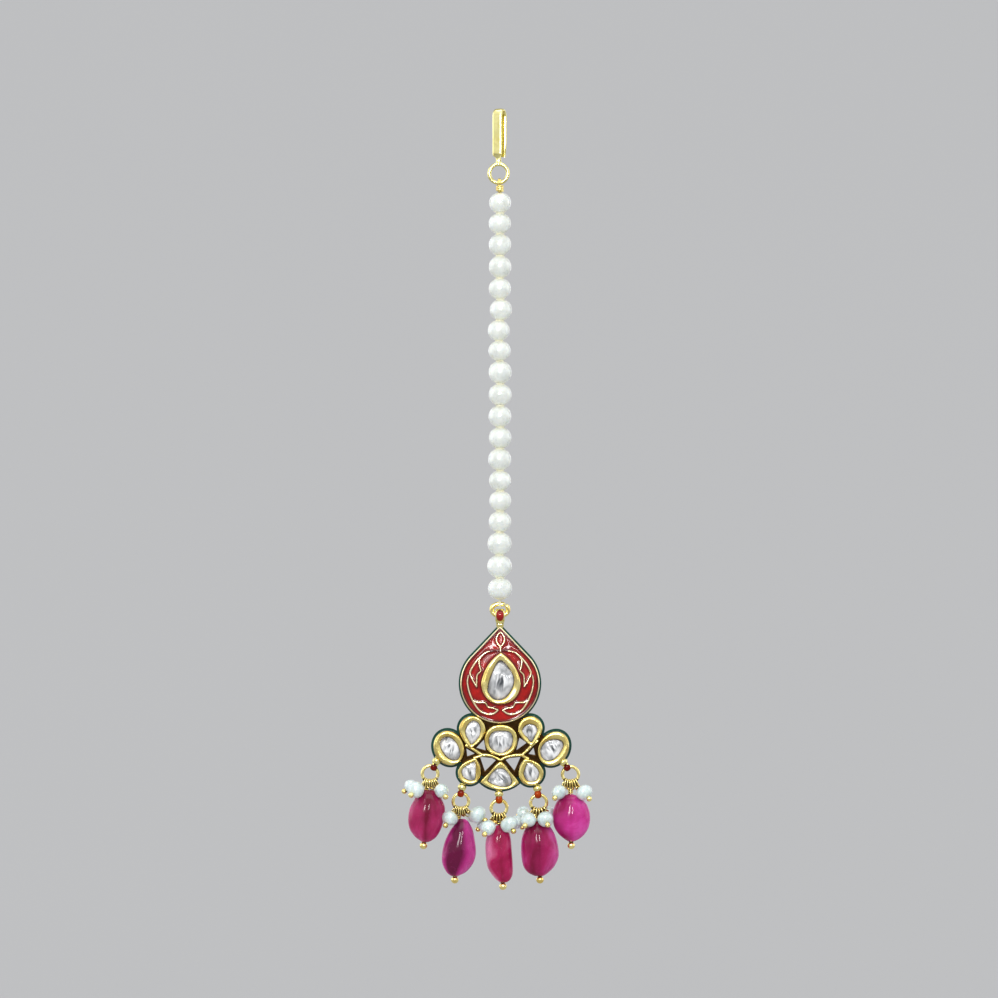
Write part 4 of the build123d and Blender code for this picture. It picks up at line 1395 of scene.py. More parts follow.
# ---- teardrop
@dataclass
class Teardrop:
    """The enamelled drop: a gold rim, a domed red field with raised gold lines, and the main stone."""

    gold: Gold
    line_gold: Gold
    enamel: Enamel
    bulb: float = 7.07
    tip: float = 10.3
    case_grow: float = 0.1
    rim: float = 0.17
    back: float = 0.9
    dome_radius: float = 40.0
    dome_top: float = -1.7
    line_wire: float = 0.152
    line_rise: float = 0.045
    field_grow: float = -0.14
    # the enamel climbs towards a line and sinks away from it: (how much, over what distance)
    climb: Pair = (0.11, 0.24)
    sink: Pair = (0.05, 0.8)
    foil_folds: float = 1.9
    points_round: int = 360
    # where the enamel was stoned flat: (x, depth, half width, half height)
    flats: tuple[tuple[float, float, float, float], ...] = ((-3.0, 4.2, 2.3, 3.0), (1.8, 3.6, 1.3, 2.2))
    # each line's knots as (x, depth), and how stout it is at its start, middle and end
    lines: tuple[tuple[Pairs, Triple], ...] = (
        (((-0.1, 4.36), (-1.3, 4.32), (-2.68, 4.7), (-3.8, 5.62), (-4.78, 6.9), (-5.46, 8.3), (-5.08, 9.45),
          (-4.26, 10.86)), (0.34, 1.15, 0.85)),
        (((-2.9, 4.85), (-3.78, 5.9), (-3.7, 7.3), (-3.5, 7.95), (-4.12, 8.66), (-4.26, 9.75),
          (-4.26, 10.86)), (1.0, 0.75, 0.9)),
        (((-5.78, 8.8), (-5.93, 10.2), (-5.62, 11.8), (-5.0, 13.3), (-4.25, 14.58), (-3.43, 15.4),
          (-2.2, 15.84), (-1.2, 15.7), (-0.36, 15.08)), (0.7, 1.2, 1.0)),
        (((-5.0, 13.3), (-4.24, 13.68), (-2.75, 13.76), (-2.18, 14.52), (-1.15, 14.74), (-0.36, 15.08)),
         (1.0, 0.8, 0.9)),
        (((0.0, 0.95), (-0.36, 1.35), (-0.66, 1.95), (-0.66, 2.6), (-0.36, 3.2), (0.0, 3.65), (0.03, 4.5)),
         (0.7, 0.95, 0.7)),
    )

    def outline(self, grow: float, count: int) -> Array:
        """Draws the drop's outline: a round bulb, and straight sides that meet at the apex.

        Args:
            grow: how far outwards it is grown.
            count: how many points to give.

        Returns:
            The outline as (x, z) points, evenly by bearing round the main stone.
        """
        lean = math.asin(self.bulb / self.tip)
        radius, tip = self.bulb + grow, (self.bulb + grow) / math.sin(lean)
        bulb = np.linspace(-math.pi - lean, lean, 480)
        arc = radius * np.stack([np.cos(bulb), np.sin(bulb)], axis=1)
        share = np.linspace(0.0, 1.0, 200, endpoint=False)[1:, None]
        right = arc[-1] * (1 - share) + share * (0.0, tip)
        left = arc[0] * share + (1 - share) * (0.0, tip)
        loop = np.vstack([arc, right, [(0.0, tip)], left])
        middle = np.array([0.0, APEX - self.tip])
        return by_bearing(loop + middle, MAIN_STONE.heart(), count)

    def dome(self, flat: Array) -> Array:
        """Gives the depth of the domed front under (x, z) points."""
        away = np.linalg.norm(flat - (0.0, APEX - self.tip), axis=-1)
        return self.dome_top + self.dome_radius - np.sqrt(self.dome_radius**2 - away**2)

    def gold_lines(self) -> list[tuple[Array, Array]]:
        """Works out every raised line, left and right.

        Returns:
            Each line's (x, z) points, and the wire's radius at each.
        """
        made = []
        for knots, stout in self.lines:
            flat = below_apex(smooth_curve(knots, 90))
            radius = self.line_wire * np.interp(np.linspace(0.0, 1.0, 90), [0.0, 0.5, 1.0], stout)
            made.append((flat + (0.04, 0.0), radius))
            made.append((flat * (-1.0, 1.0) + (0.12, 0.0), radius))
        return made

    def distance_to_gold(self, flat: Array, edges: Sequence[Array]) -> Array:
        """Measures how far each point of the field lies from the nearest gold.

        Args:
            flat: rows of (x, z) points.
            edges: the gold that borders the field, as (x, z) points.

        Returns:
            The distance at each point.
        """
        lines = np.vstack([points for points, _ in self.gold_lines()] + list(edges))
        away = np.full(flat.shape[:2], 9.0)
        batch = 60
        for start in range(0, len(lines), batch):
            near = lines[start:start + batch]
            gap = np.linalg.norm(flat[:, :, None] - near[None, None], axis=-1).min(axis=-1)
            away = np.minimum(away, gap)
        return away

    def enamel_field(self) -> None:
        """Makes the red field: domed, drawn up against each gold line, and darker where it pools there."""
        rings = 84
        inner = MAIN_STONE.collar_loop(self.points_round)
        inner = inner + (MAIN_STONE.heart() - inner) * 0.02
        outer = self.outline(self.field_grow, self.points_round)
        share = np.linspace(0.0, 1.0, rings)[:, None, None]
        flat = inner[None] * (1 - share) + outer[None] * share
        away = self.distance_to_gold(flat, (outer[::2], inner[::2]))
        climb, climb_over = self.climb
        sink, sink_over = self.sink
        lift = climb * np.exp(-((away / climb_over) ** 2)) - sink * (1 - np.exp(-((away / sink_over) ** 2)))
        rows = upright(flat, self.dome(flat) - lift)
        rows[..., 1] += 0.007 * Ripple(2.4, 11).at(rows)
        for x, depth, wide, tall in self.flats:
            offset = rows[..., 0] - x
            window = np.exp(-((offset / wide) ** 4) - ((rows[..., 2] - APEX + depth) / tall) ** 4)
            rows[..., 1] -= window * offset**2 / (2 * self.dome_radius)
        shape = Shape().add(rows, caps=False, mark=np.exp(-((away / 0.36) ** 2)))
        under = ((outer, self.dome(outer)), (outer, 0.2), (inner, 0.2), (inner, self.dome(inner)))
        shape.add(np.stack([upright(loop, depth) for loop, depth in under]), caps=False, mark=1.0)
        finish = self.enamel.material()
        shape.make("teardrop_red_field", finish, Body.PENDANT, "red_enamel", ["red_enamel"], crease=60.0)

    def ornament(self) -> None:
        """Makes the raised gold lines that follow the dome."""
        shape = Shape()
        for flat, radius in self.gold_lines():
            path = upright(flat, self.dome(flat) - self.line_rise)
            shape.tube(path, radius, 10, flat=0.8, side=np.cross(np.gradient(path, axis=0), Y_WAY))
        shape.make_frame_gold("teardrop_gold_lines", self.line_gold)

    def case(self) -> None:
        """Makes the case's rim and wall, and the main stone in its collar."""
        grows = (self.case_grow - self.rim, self.case_grow, self.case_grow - 2 * self.rim)
        rim, outer, inner = (self.outline(grow, self.points_round) for grow in grows)
        crest = self.dome(rim) - 0.05
        shoulder = crest + 0.2
        # each row's outline, its depth and its painted shade, darker on the rim's inner slope and inside the
        # wall
        edge = (
            (inner, shoulder, 0.8), (inner, self.dome(inner) + 0.1, 0.5),
            ((inner + rim) / 2, crest + 0.03, 0.0), (rim, crest, 0.0), ((outer + rim) / 2, crest + 0.05, 0.0),
            (outer, crest + 0.14, 0.1), (outer, shoulder, 0.3),
        )
        wall = (
            (outer - 0.01, shoulder, 0.4), (outer, shoulder + 0.12, 0.0), (outer, self.back - 0.1, 0.0),
            (outer, self.back, 0.3), (inner, self.back, 0.9), (inner, shoulder, 0.9),
        )
        for name, table, gold in (("rim", edge, self.line_gold), ("wall", wall, self.gold)):
            rows = np.array([upright(loop, depth) for loop, depth, _ in table])
            shades = np.repeat([[shade] for _, _, shade in table], self.points_round, 1)
            Shape().add(rows, along=True, mark=shades).make_frame_gold(f"teardrop_{name}", gold, crease=40.0)
        collar = Shape()
        add_collar(collar, MAIN_STONE, self.back, 77, 220)
        collar.make_frame_gold("teardrop_collar", self.gold)
        foil = FoiledStone("foiled stone teardrop", MAIN_STONE.streak, self.foil_folds, 0.007)
        make_stone(MAIN_STONE, foil, 310, 180, 44)

    def build(self) -> None:
        """Makes the whole drop."""
        self.case()
        self.enamel_field()
        self.ornament()


# ---- bail, lugs and the enamelled back
@dataclass(frozen=True)
class StrapLoop:
    """An upright strap loop whose hole runs across, with a domed enamel front.

    middle is the hole's middle, tilt the swing of its foot to the right in degrees, and shank how far it
    reaches up from the hole.
    """

    middle: Triple
    tilt: float
    width: float
    hole: float
    outer: float
    shank: float
    enamel_wide: float
    enamel_arc: Pair
    enamel_rise: float

    def stand(self) -> Stand:
        """Works out its own directions.

        Returns:
            A stand at the hole's middle, whose along points to the loop's foot.
        """
        tilt = math.radians(self.tilt)
        across = np.array([math.cos(tilt), 0.0, math.sin(tilt)])
        along = np.array([math.sin(tilt), 0.0, -math.cos(tilt)])
        return Stand(np.array(self.middle), across, along)

    def add_strap(self, shape: Shape) -> None:
        """Adds the gold: the loop and its shank.

        Args:
            shape: the piece that it becomes part of.
        """
        stand = self.stand()
        middle_line = (self.hole + self.outer) / 2
        thick = (self.outer - self.hole) / 2
        turn = full_turn(56)
        ring = np.stack([0 * turn, middle_line * np.sin(turn), middle_line * np.cos(turn)], axis=1)
        section = oval(self.width / 2, thick, 4.0, 28)
        rows = sweep(ring, section, closed=True, side=X_WAY)
        shape.add(stand.place(rows), along=True)
        neck = np.linspace(-self.hole - 0.1, -self.shank, 9)[:, None] * Z_WAY
        waist = 1.0 - 0.14 * np.sin(np.linspace(0.0, math.pi, 9))
        block = sweep(neck, oval(self.width / 2, self.outer * 0.78, 3.5, 28), side=X_WAY, scale=waist)
        # painted shade: the shank a little darker than the loop
        shape.add(stand.place(block), mark=0.15)

    def add_enamel(self, shape: Shape) -> None:
        """Adds the enamel: an oval pillow on the front of the strap, following its curve.

        Args:
            shape: the piece that it becomes part of.
        """
        stand = self.stand()
        start, end = (math.radians(a) for a in self.enamel_arc)
        reach = np.linspace(0.0, 1.0, 14)[:, None]
        bearing = full_turn(36)[None]
        turn = (start + end) / 2 + (end - start) / 2 * reach * np.sin(bearing)
        x = self.enamel_wide / 2 * reach * np.cos(bearing)
        pillow = self.enamel_rise * np.sqrt(np.clip(1.0 - reach**2.4, 0.0, 1.0))
        radius = self.outer - 0.06 + pillow * np.ones_like(turn)
        top = np.stack([x, radius * np.cos(turn), -radius * np.sin(turn)], axis=-1)
        low = top[-1:] * (1.0, 0.75, 0.75)
        # painted shade: the pillow darkens towards the lower end of its arc; its rim darkens where the enamel
        # pools against the gold
        pool_and_shade = np.maximum(ease(reach, 0.78, 1.05), 0.85 * ease(reach * np.sin(bearing), 0.1, 0.8))
        shape.add(stand.place(np.concatenate([top, low])), mark=np.vstack([pool_and_shade, np.ones((1, 36))]))


@dataclass
class Hangings:
    """The bail that hangs on the string, and the five lugs that carry the drops."""

    gold: Gold
    bail_enamel: Enamel
    lug_enamels: tuple[Enamel, ...]
    # the bail's neck, down to the teardrop's tip: (distance below the bail's hole, size)
    neck: Pairs = (
        (0.9, 0.96), (1.35, 0.9), (1.5, 0.72), (1.62, 0.86), (2.1, 0.74), (2.45, 0.5),
    )
    groove_at: float = 1.5
    groove_wide: float = 0.1
    # each lug's place as (x, depth below the apex), its tilt, and its enamel's foot
    lugs: tuple[tuple[float, float, float, float], ...] = (
        (-11.95, 25.36, -23.0, 34.0), (-7.11, 30.15, -12.0, 46.0), (-0.18, 31.36, 0.0, 74.0),
        (6.89, 30.40, 5.0, 70.0), (12.11, 25.42, 34.0, 34.0),
    )
    # the bead that hides each lug's solder: where it sits on the lug's stand, its radius and its half height
    bead_place: Triple = (0.0, 0.3, -1.02)
    bead_radius: float = 0.8
    bead_high: float = 0.74

    def bail(self) -> None:
        """Makes the bail: an enamelled loop, and a waisted neck down to the teardrop's tip."""
        bail = StrapLoop(
            tuple(HANG), tilt=0.0, width=1.7, hole=0.6, outer=1.22, shank=0.9,
            enamel_wide=1.44, enamel_arc=(-58.0, 60.0), enamel_rise=0.3,
        )
        gold, red = Shape(), Shape()
        bail.add_strap(gold)
        bail.add_enamel(red)
        places, sizes = np.array(self.neck).T
        down = np.linspace(places[0], APEX_DROP + 0.35, 18)
        waist = np.interp(down, places, sizes)
        block = sweep(down[:, None] * Z_WAY, oval(0.85, 0.62, 3.5, 32), side=X_WAY, scale=waist)
        # painted shade in the neck's groove
        groove_shade = 0.9 * np.exp(-(((down - self.groove_at) / self.groove_wide) ** 2))
        gold.add(bail.stand().place(block), mark=np.broadcast_to(groove_shade[:, None], block.shape[:2]))
        gold.make_frame_gold("pendant_bail", self.gold)
        finish = self.bail_enamel.material()
        red.make("pendant_bail_enamel", finish, Body.PENDANT, "red_enamel", ["bail_enamel"])

    def build(self) -> None:
        """Makes the bail and the lugs, and their enamel."""
        self.bail()
        gold = Shape()
        made: dict[str, bpy.types.Material] = {}
        tilt = np.linspace(0.1, math.pi - 0.1, 16)
        ball = [(self.bead_radius * math.sin(a), self.bead_high * math.cos(a)) for a in tilt]
        for number, ((x, depth, lean, foot), enamel) in enumerate(zip(self.lugs, self.lug_enamels), 1):
            lug = StrapLoop(
                (x, 0.0, APEX - depth), tilt=lean, width=1.12, hole=0.42, outer=0.8, shank=1.75,
                enamel_wide=1.3, enamel_arc=(-66.0, foot), enamel_rise=0.36,
            )
            lug.add_strap(gold)
            pillow = Shape()
            lug.add_enamel(pillow)
            if enamel.name not in made:
                made[enamel.name] = enamel.material()
            name = f"drop_{number}_lug_enamel"
            pillow.make(name, made[enamel.name], Body.PENDANT, "orange_enamel", ["lug_enamels"])
            stand = lug.stand()
            bead = Stand(stand.place(np.array(self.bead_place)), stand.across, -stand.along)
            gold.turned(bead, ball, 24)
        gold.make_frame_gold("drop_lugs", self.gold)


@dataclass
class EnamelledBack:
    """The green enamelled back: the frame's own plate, softened at its edges."""

    enamel: Enamel
    soften: float = 0.1

    def build(self) -> None:
        """Dresses the plate and rounds its edges."""
        plate = frame["nodes"]["green_enamel_back"]
        weld = plate.modifiers.new("join faces", "WELD")
        weld.merge_threshold = 1e-7
        soften = plate.modifiers.new("soft edge", "BEVEL")
        soften.width = self.soften * MM
        soften.segments = 3
        soften.limit_method = "ANGLE"
        soften.angle_limit = math.radians(40.0)
        soften.harden_normals = False
        material = self.enamel.material()
        for k in range(len(plate.data.materials)):
            plate.data.materials[k] = material
        LOG.info("green_enamel_back: dressed on %s", Body.PENDANT.value)


# ---- drops
@dataclass(frozen=True)
class Bead:
    """A tumbled ruby bead.

    outline holds its (distance below the ring's middle, left edge, right edge) from end to end, as seen
    from the front. deep is half its depth. head is the (x, distance below) of its pin's ball. core, flesh
    and glow are its depths, its body and where light fills it; bands says how it goes from core (0) to
    glow (1) in five steps from left to right, and turn is the lean of its veils.
    """

    outline: tuple[Triple, ...]
    deep: float
    head: Pair
    core: Colour
    flesh: Colour
    glow: Colour
    bands: tuple[float, float, float, float, float]
    turn: float


@dataclass(frozen=True)
class Pin:
    """A headed pin that hangs on a ring by an eye of several turns, one of a fan of such eyes.

    ring is the ring's middle and reach its radius. share is the eye's place in the fan, from -1 at its left
    end to 1 at its right, and pitch how far apart its turns are there. foot is the middle of the pin's ball,
    and bead_top says how far from the ring's wire its bead begins.
    """

    ring: Array
    reach: float
    share: float
    pitch: float
    foot: Array
    bead_top: float
    head: float
    turns: int
    neck: float
    wire: float
    eye_long: float = 1.3
    inside: float = 0.5
    ring_wire: float = 0.3
    fan_top: float = 0.98
    fan_spread: float = 0.74

    def fanned(self, share: Array | float, down: Array | float, eye: float) -> Array:
        """Gives points of the fan of eyes, which spreads from the ring down.

        Args:
            share: the place across the fan, from -1 to 1.
            down: the place from its inner edge (0) to its hem (1).
            eye: how far the eyes reach below the ring's wire.

        Returns:
            The points.
        """
        x = np.asarray(share) * (self.fan_top + self.fan_spread * np.asarray(down))
        inner = self.reach - self.inside - 0.3 * np.square(share)
        outer = self.reach + eye - 0.45 * np.square(share)
        z = -(inner + (outer - inner) * np.asarray(down))
        return self.ring + np.stack([x, np.zeros_like(x), z], axis=-1)

    def add_eye(self, shape: Shape, eye: float) -> None:
        """Adds the eye: the wire's turns round the ring.

        Args:
            shape: the piece that it becomes part of.
            eye: how far the eye reaches below the ring's wire.
        """
        turn = np.linspace(-0.5, self.turns - 0.5, 30 * self.turns)
        phase = 2 * math.pi * turn
        places = self.share + self.pitch * (turn - (self.turns - 1) / 2)
        coil = self.fanned(places, (1.0 - np.cos(phase)) / 2, eye)
        clear = self.ring_wire + self.wire + 0.03
        coil = coil - Y_WAY * (clear * np.sin(phase) * (1.0 + 0.2 * np.cos(phase)))[:, None]
        # painted shade on the back half of each turn of the eye
        back_shade = 0.45 * ease(-np.cos(phase), 0.6, 1.0)
        shape.tube(coil, self.wire * (1.08 + 0.3 * (1.0 - np.cos(phase)) / 2), 10, mark=back_shade)

    def add(self, shape: Shape) -> None:
        """Adds the pin: its eye coiled round the ring, a wrapped neck, a straight wire and a ball.

        Args:
            shape: the piece that it becomes part of.
        """
        eye = max(min(self.eye_long, self.bead_top - 0.3), 0.5)
        self.add_eye(shape, eye)
        neck, wire, head = self.neck, self.wire, self.head
        start = self.fanned(self.share, 0.92, eye)
        along = unit(self.foot - start)
        tangent = unit(np.cross(Y_WAY, along))
        length = np.linalg.norm(self.foot - start)
        wrapped = max(self.bead_top - eye + 0.1, 0.3)
        wraps = helix(start, along, tangent, neck, wrapped, max(wrapped / 0.3, 1.6), 18)
        # painted shade on the back of the wraps
        shape.tube(wraps, wire * 1.1, 8, mark=ease(wraps[:, 1], 0.0, neck) * 0.8)
        core = [(neck * 0.5, 0.0), (neck, 0.08), (neck, wrapped - 0.08), (neck * 0.5, wrapped)]
        # a dark core inside the wraps, as painted shade
        shape.turned(Stand(start, tangent, along), core, 14, mark=0.9)
        # slight painted shade on the straight wire
        shape.tube(start + along * np.linspace(0.0, length, 5)[:, None], wire * 1.2, 8, mark=0.35)
        tilt = np.linspace(0.12, math.pi - 0.06, 16)
        ball = [(head * math.sin(a), -head * 0.95 * math.cos(a)) for a in tilt]
        collar = [(wire * 1.2, -head * 1.14), (head * 0.62, -head * 1.08), (head * 0.66, -head * 0.9)]
        # painted shade where the ball meets the wire
        marks = np.array([0.9] * 3 + [0.9, 0.7, 0.35] + [0.0] * 13)
        shape.turned(Stand(self.foot, tangent, along), collar + ball, 22, mark=marks)


@dataclass
class BeadDrop:
    """One drop: a jump ring, a tumbled ruby on a headed pin, and seed pearls on pins of their own."""

    number: int
    bead: Bead
    gold: bpy.types.Material
    seed_nacre: bpy.types.Material
    ring_wire: float = 0.3
    # how far the wire's middle lies inside the frame's ring
    ring_inset: float = 0.21
    seed_fullness: float = 1.09
    ruby_rings: int = 46
    ruby_sides: int = 64
    pin_wire: float = 0.115
    # the radius of a pin's ball and of its wrapped neck, for the ruby and for a seed pearl
    ruby_pin: Pair = (0.7, 0.37)
    seed_pin: Pair = (0.5, 0.27)
    eye_turns: int = 7

    def ring_middle(self) -> Array:
        """Gives the middle of the jump ring."""
        return middle_of(f"drop_{self.number}_ring")

    def ring_radius(self) -> float:
        """Gives the radius of the jump ring to the middle of its wire."""
        return span_of(f"drop_{self.number}_ring")[0] / 2 - self.ring_inset

    def jump_ring(self) -> None:
        """Makes the ring, closed with a fine seam."""
        middle, radius = self.ring_middle(), self.ring_radius()
        turn = np.linspace(0.03, 2 * math.pi - 0.03, 84) + 1.1 * self.number
        wobble = radius * (1 + 0.02 * np.sin(2 * turn + self.number))
        path = middle + wobble[:, None] * np.stack([np.sin(turn), 0.02 * np.sin(turn), -np.cos(turn)], axis=1)
        # painted shade on the ring's bottom, under the eyes
        shade_under_eyes = 0.95 * ease(middle[2] - path[:, 2], 0.45 * radius, 0.62 * radius)
        shape = Shape().tube(path, self.ring_wire, 16, mark=shade_under_eyes)
        node = f"drop_{self.number}_ring"
        shape.make(f"drop_{self.number}_jump_ring", self.gold, Body.PENDANT, "gold", [node])

    def ruby_rows(self) -> Array:
        """Works out the bead's surface: its outline from end to end, tumbled until a little uneven.

        Returns:
            A ring of points for each step down the bead.
        """
        bead = self.bead
        edge = smooth_curve(bead.outline, self.ruby_rings)
        half, aside = (edge[:, 2] - edge[:, 1]) / 2, (edge[:, 2] + edge[:, 1]) / 2
        turn = full_turn(self.ruby_sides)
        around = oval(1.0, 1.0, 2.15, self.ruby_sides)
        deep = bead.deep * (half / half.max()) ** 0.9
        x = aside[:, None] + half[:, None] * around[None, :, 0]
        y = deep[:, None] * around[None, :, 1]
        rows = np.stack([x, y, np.broadcast_to(-edge[:, :1], x.shape)], axis=-1) + self.ring_middle()
        share = (half / half.max())[:, None]
        rows[..., 1] += 0.14 * share * Ripple(6.5, 500 + self.number).at(rows) * np.abs(np.sin(turn))[None]
        rows[..., 0] += 0.03 * share * Ripple(3.5, 540 + self.number).at(rows)
        return rows

    def ruby_light(self, rows: Array) -> Array:
        """Works out how light fills the bead: in bands across it, more at its edges, and less at its hole.

        Args:
            rows: the bead's points.

        Returns:
            The mark of each point, from 0 in its core to 1 where light fills it.
        """
        bead, ring = self.bead, self.ring_middle()
        turn = full_turn(self.ruby_sides)
        around = oval(1.0, 1.0, 2.15, self.ruby_sides)
        across = np.interp((around[:, 0] + 1.0) / 2, np.linspace(0.0, 1.0, len(bead.bands)), bead.bands)
        light = across + 0.16 * Ripple(4.5, 560 + self.number).at(rows)
        light += 0.3 * ease(np.abs(np.cos(turn)), 0.88, 1.0)
        start = ring + (0.0, 0.0, -self.ring_radius())
        foot = ring + np.array([bead.head[0], 0.0, -bead.head[1]])
        axis_x = start[0] + (foot[0] - start[0]) * (start[2] - rows[..., 2]) / (start[2] - foot[2])
        hole = np.exp(-(((rows[..., 0] - axis_x) / 0.3) ** 2))
        return light - 0.12 * hole

    def ruby(self) -> None:
        """Makes the tumbled bead."""
        bead, node = self.bead, f"drop_{self.number}_ruby"
        rows = self.ruby_rows()
        shape = Shape().add(rows, mark=self.ruby_light(rows))
        name = f"ruby {self.number}"
        finish = RubyGlass(name, bead.core, bead.flesh, bead.glow, bead.turn, 0.021 * self.number)
        shape.make(f"{node}_bead", finish.material(), Body.PENDANT, "ruby", [node], crease=70.0)

    def add_seed(self, shape: Shape, middle: Array, along: Array, radius: float, number: int) -> None:
        """Adds a seed pearl, a little squat and uneven.

        Args:
            shape: the piece that it becomes part of.
            middle: its middle.
            along: the direction of its drill hole.
            radius: its radius.
            number: varies its form.
        """
        across = unit(np.cross(along, (0.2, 1.0, 0.1)))
        tilt = np.linspace(0.16, math.pi - 0.16, 28)
        fat = 1.0 + 0.06 * math.sin(2.4 * number + self.number)
        profile = np.stack([radius * fat * np.sin(tilt), -0.93 * radius / fat * np.cos(tilt)], axis=1)
        warm = 0.5 * np.exp(-((profile[:, 0] / 0.4) ** 2))
        shape.turned(Stand(middle, across, along), profile, 36, mark=warm)
        lumps = 0.05 * Ripple(1.9, 700 + 10 * self.number + number).at(shape.points[-1])
        shape.points[-1] = middle + (shape.points[-1] - middle) * (1.0 + lumps)[:, None]

    def build(self) -> None:
        """Makes the whole drop."""
        self.jump_ring()
        self.ruby()
        ring, reach, bead = self.ring_middle(), self.ring_radius(), self.bead
        # each pin's foot, where its bead begins, its ball, its wrapped neck, and the side it leans to
        hung = [(ring + (bead.head[0], 0.0, -bead.head[1]), bead.outline[0][0] - reach, *self.ruby_pin, 0.0)]
        pearls = Shape()
        for k, solid in enumerate(islands(f"drop_{self.number}_seed_pearls")):
            middle = (solid.min(axis=0) + solid.max(axis=0)) / 2
            radius = np.linalg.norm(solid - middle, axis=1).max() * self.seed_fullness
            offset = middle - ring
            side = math.atan2(offset[0], -offset[2])
            along = unit(middle - ring - reach * np.array([math.sin(side), 0.0, -math.cos(side)]))
            bead_top = np.linalg.norm(offset) - reach - radius * 0.86
            hung.append((middle + along * (radius * 0.93 + 0.36), bead_top, *self.seed_pin, side))
            self.add_seed(pearls, middle, along, radius, k)
        hung.sort(key=lambda pin: pin[4])
        self.pins(hung)
        cluster, node = f"drop_{self.number}_seed_cluster", f"drop_{self.number}_seed_pearls"
        pearls.make(cluster, self.seed_nacre, Body.PENDANT, "seed_pearl", [node], crease=70.0)

    def pins(self, hung: Sequence[tuple[Array, float, float, float, float]]) -> None:
        """Makes the drop's pins, their eyes side by side on the ring.

        Args:
            hung: each pin's foot, where its bead begins, its ball, its wrapped neck, and the side it
                leans to, in order from the left.
        """
        turns = max(1, round(self.eye_turns / len(hung)))
        strands = turns * len(hung)
        pitch = 2.0 / strands
        wire = min(self.pin_wire, 0.7 / strands)
        ring, reach = self.ring_middle(), self.ring_radius()
        fan = []
        for place, (foot, bead_top, head, neck, _) in enumerate(hung):
            share = 2 * (place + 0.5) / len(hung) - 1.0
            fan.append(Pin(ring, reach, share, pitch, foot, bead_top, head, turns, neck, wire))
        shape = Shape()
        for pin in fan:
            pin.add(shape)
        # a dark core between the eyes' fronts and backs, as painted shade in the gaps between the strands
        packed = oval(0.93, 0.2, 2.5, 40)
        downs = np.linspace(0.5, 0.88, 5)
        rows = [fan[0].fanned(packed[:, 0], down, 1.2) + packed[:, 1:] * Y_WAY for down in downs]
        shape.add(np.array(rows), mark=1.0)
        node = f"drop_{self.number}_pins"
        shape.make(f"drop_{self.number}_wired_pins", self.gold, Body.PENDANT, "gold", [node])


# ---- studio
@dataclass(frozen=True)
class Lamp:
    """A soft oblong lamp that faces the pendant. Its place, size (wide, high) and aim are in metres."""

    name: str
    place: Triple
    size: Pair
    watts: float
    aim: Triple = (0.0, 0.0, -0.09)

    def hang(self) -> None:
        """Hangs the lamp, out of the camera's sight."""
        data = bpy.data.lights.new(self.name, "AREA")
        data.shape = "RECTANGLE"
        data.size, data.size_y = self.size
        data.energy = self.watts
        lamp = bpy.data.objects.new(self.name, data)
        lamp.location = self.place
        lamp.visible_camera = False
        way = Vector(np.subtract(self.aim, self.place))
        lamp.rotation_euler = way.to_track_quat("-Z", "Y").to_euler()
        bpy.context.scene.collection.objects.link(lamp)


LAMPS = (
    Lamp("window left pane", (-0.09, -0.6, 0.12), (0.045, 0.24), 1.0),
    Lamp("window right pane", (0.055, -0.6, 0.12), (0.022, 0.24), 0.65),
    Lamp("soft left", (-0.1, -0.62, 0.04), (0.12, 0.16), 0.3),
    Lamp("soft front", (0.05, -0.5, 0.45), (0.6, 0.22), 0.8),
    Lamp("left bank", (-0.6, 0.12, 0.0), (0.5, 0.8), 1.5),
    Lamp("right bank", (0.64, 0.1, -0.03), (0.4, 0.8), 1.0),
    Lamp("top", (0.0, 0.02, 0.5), (0.5, 0.3), 0.7),
    Lamp("rim left", (-0.3, 0.42, -0.02), (0.16, 0.5), 0.26),
    Lamp("rim right", (0.3, 0.42, -0.02), (0.16, 0.5), 0.22),
)


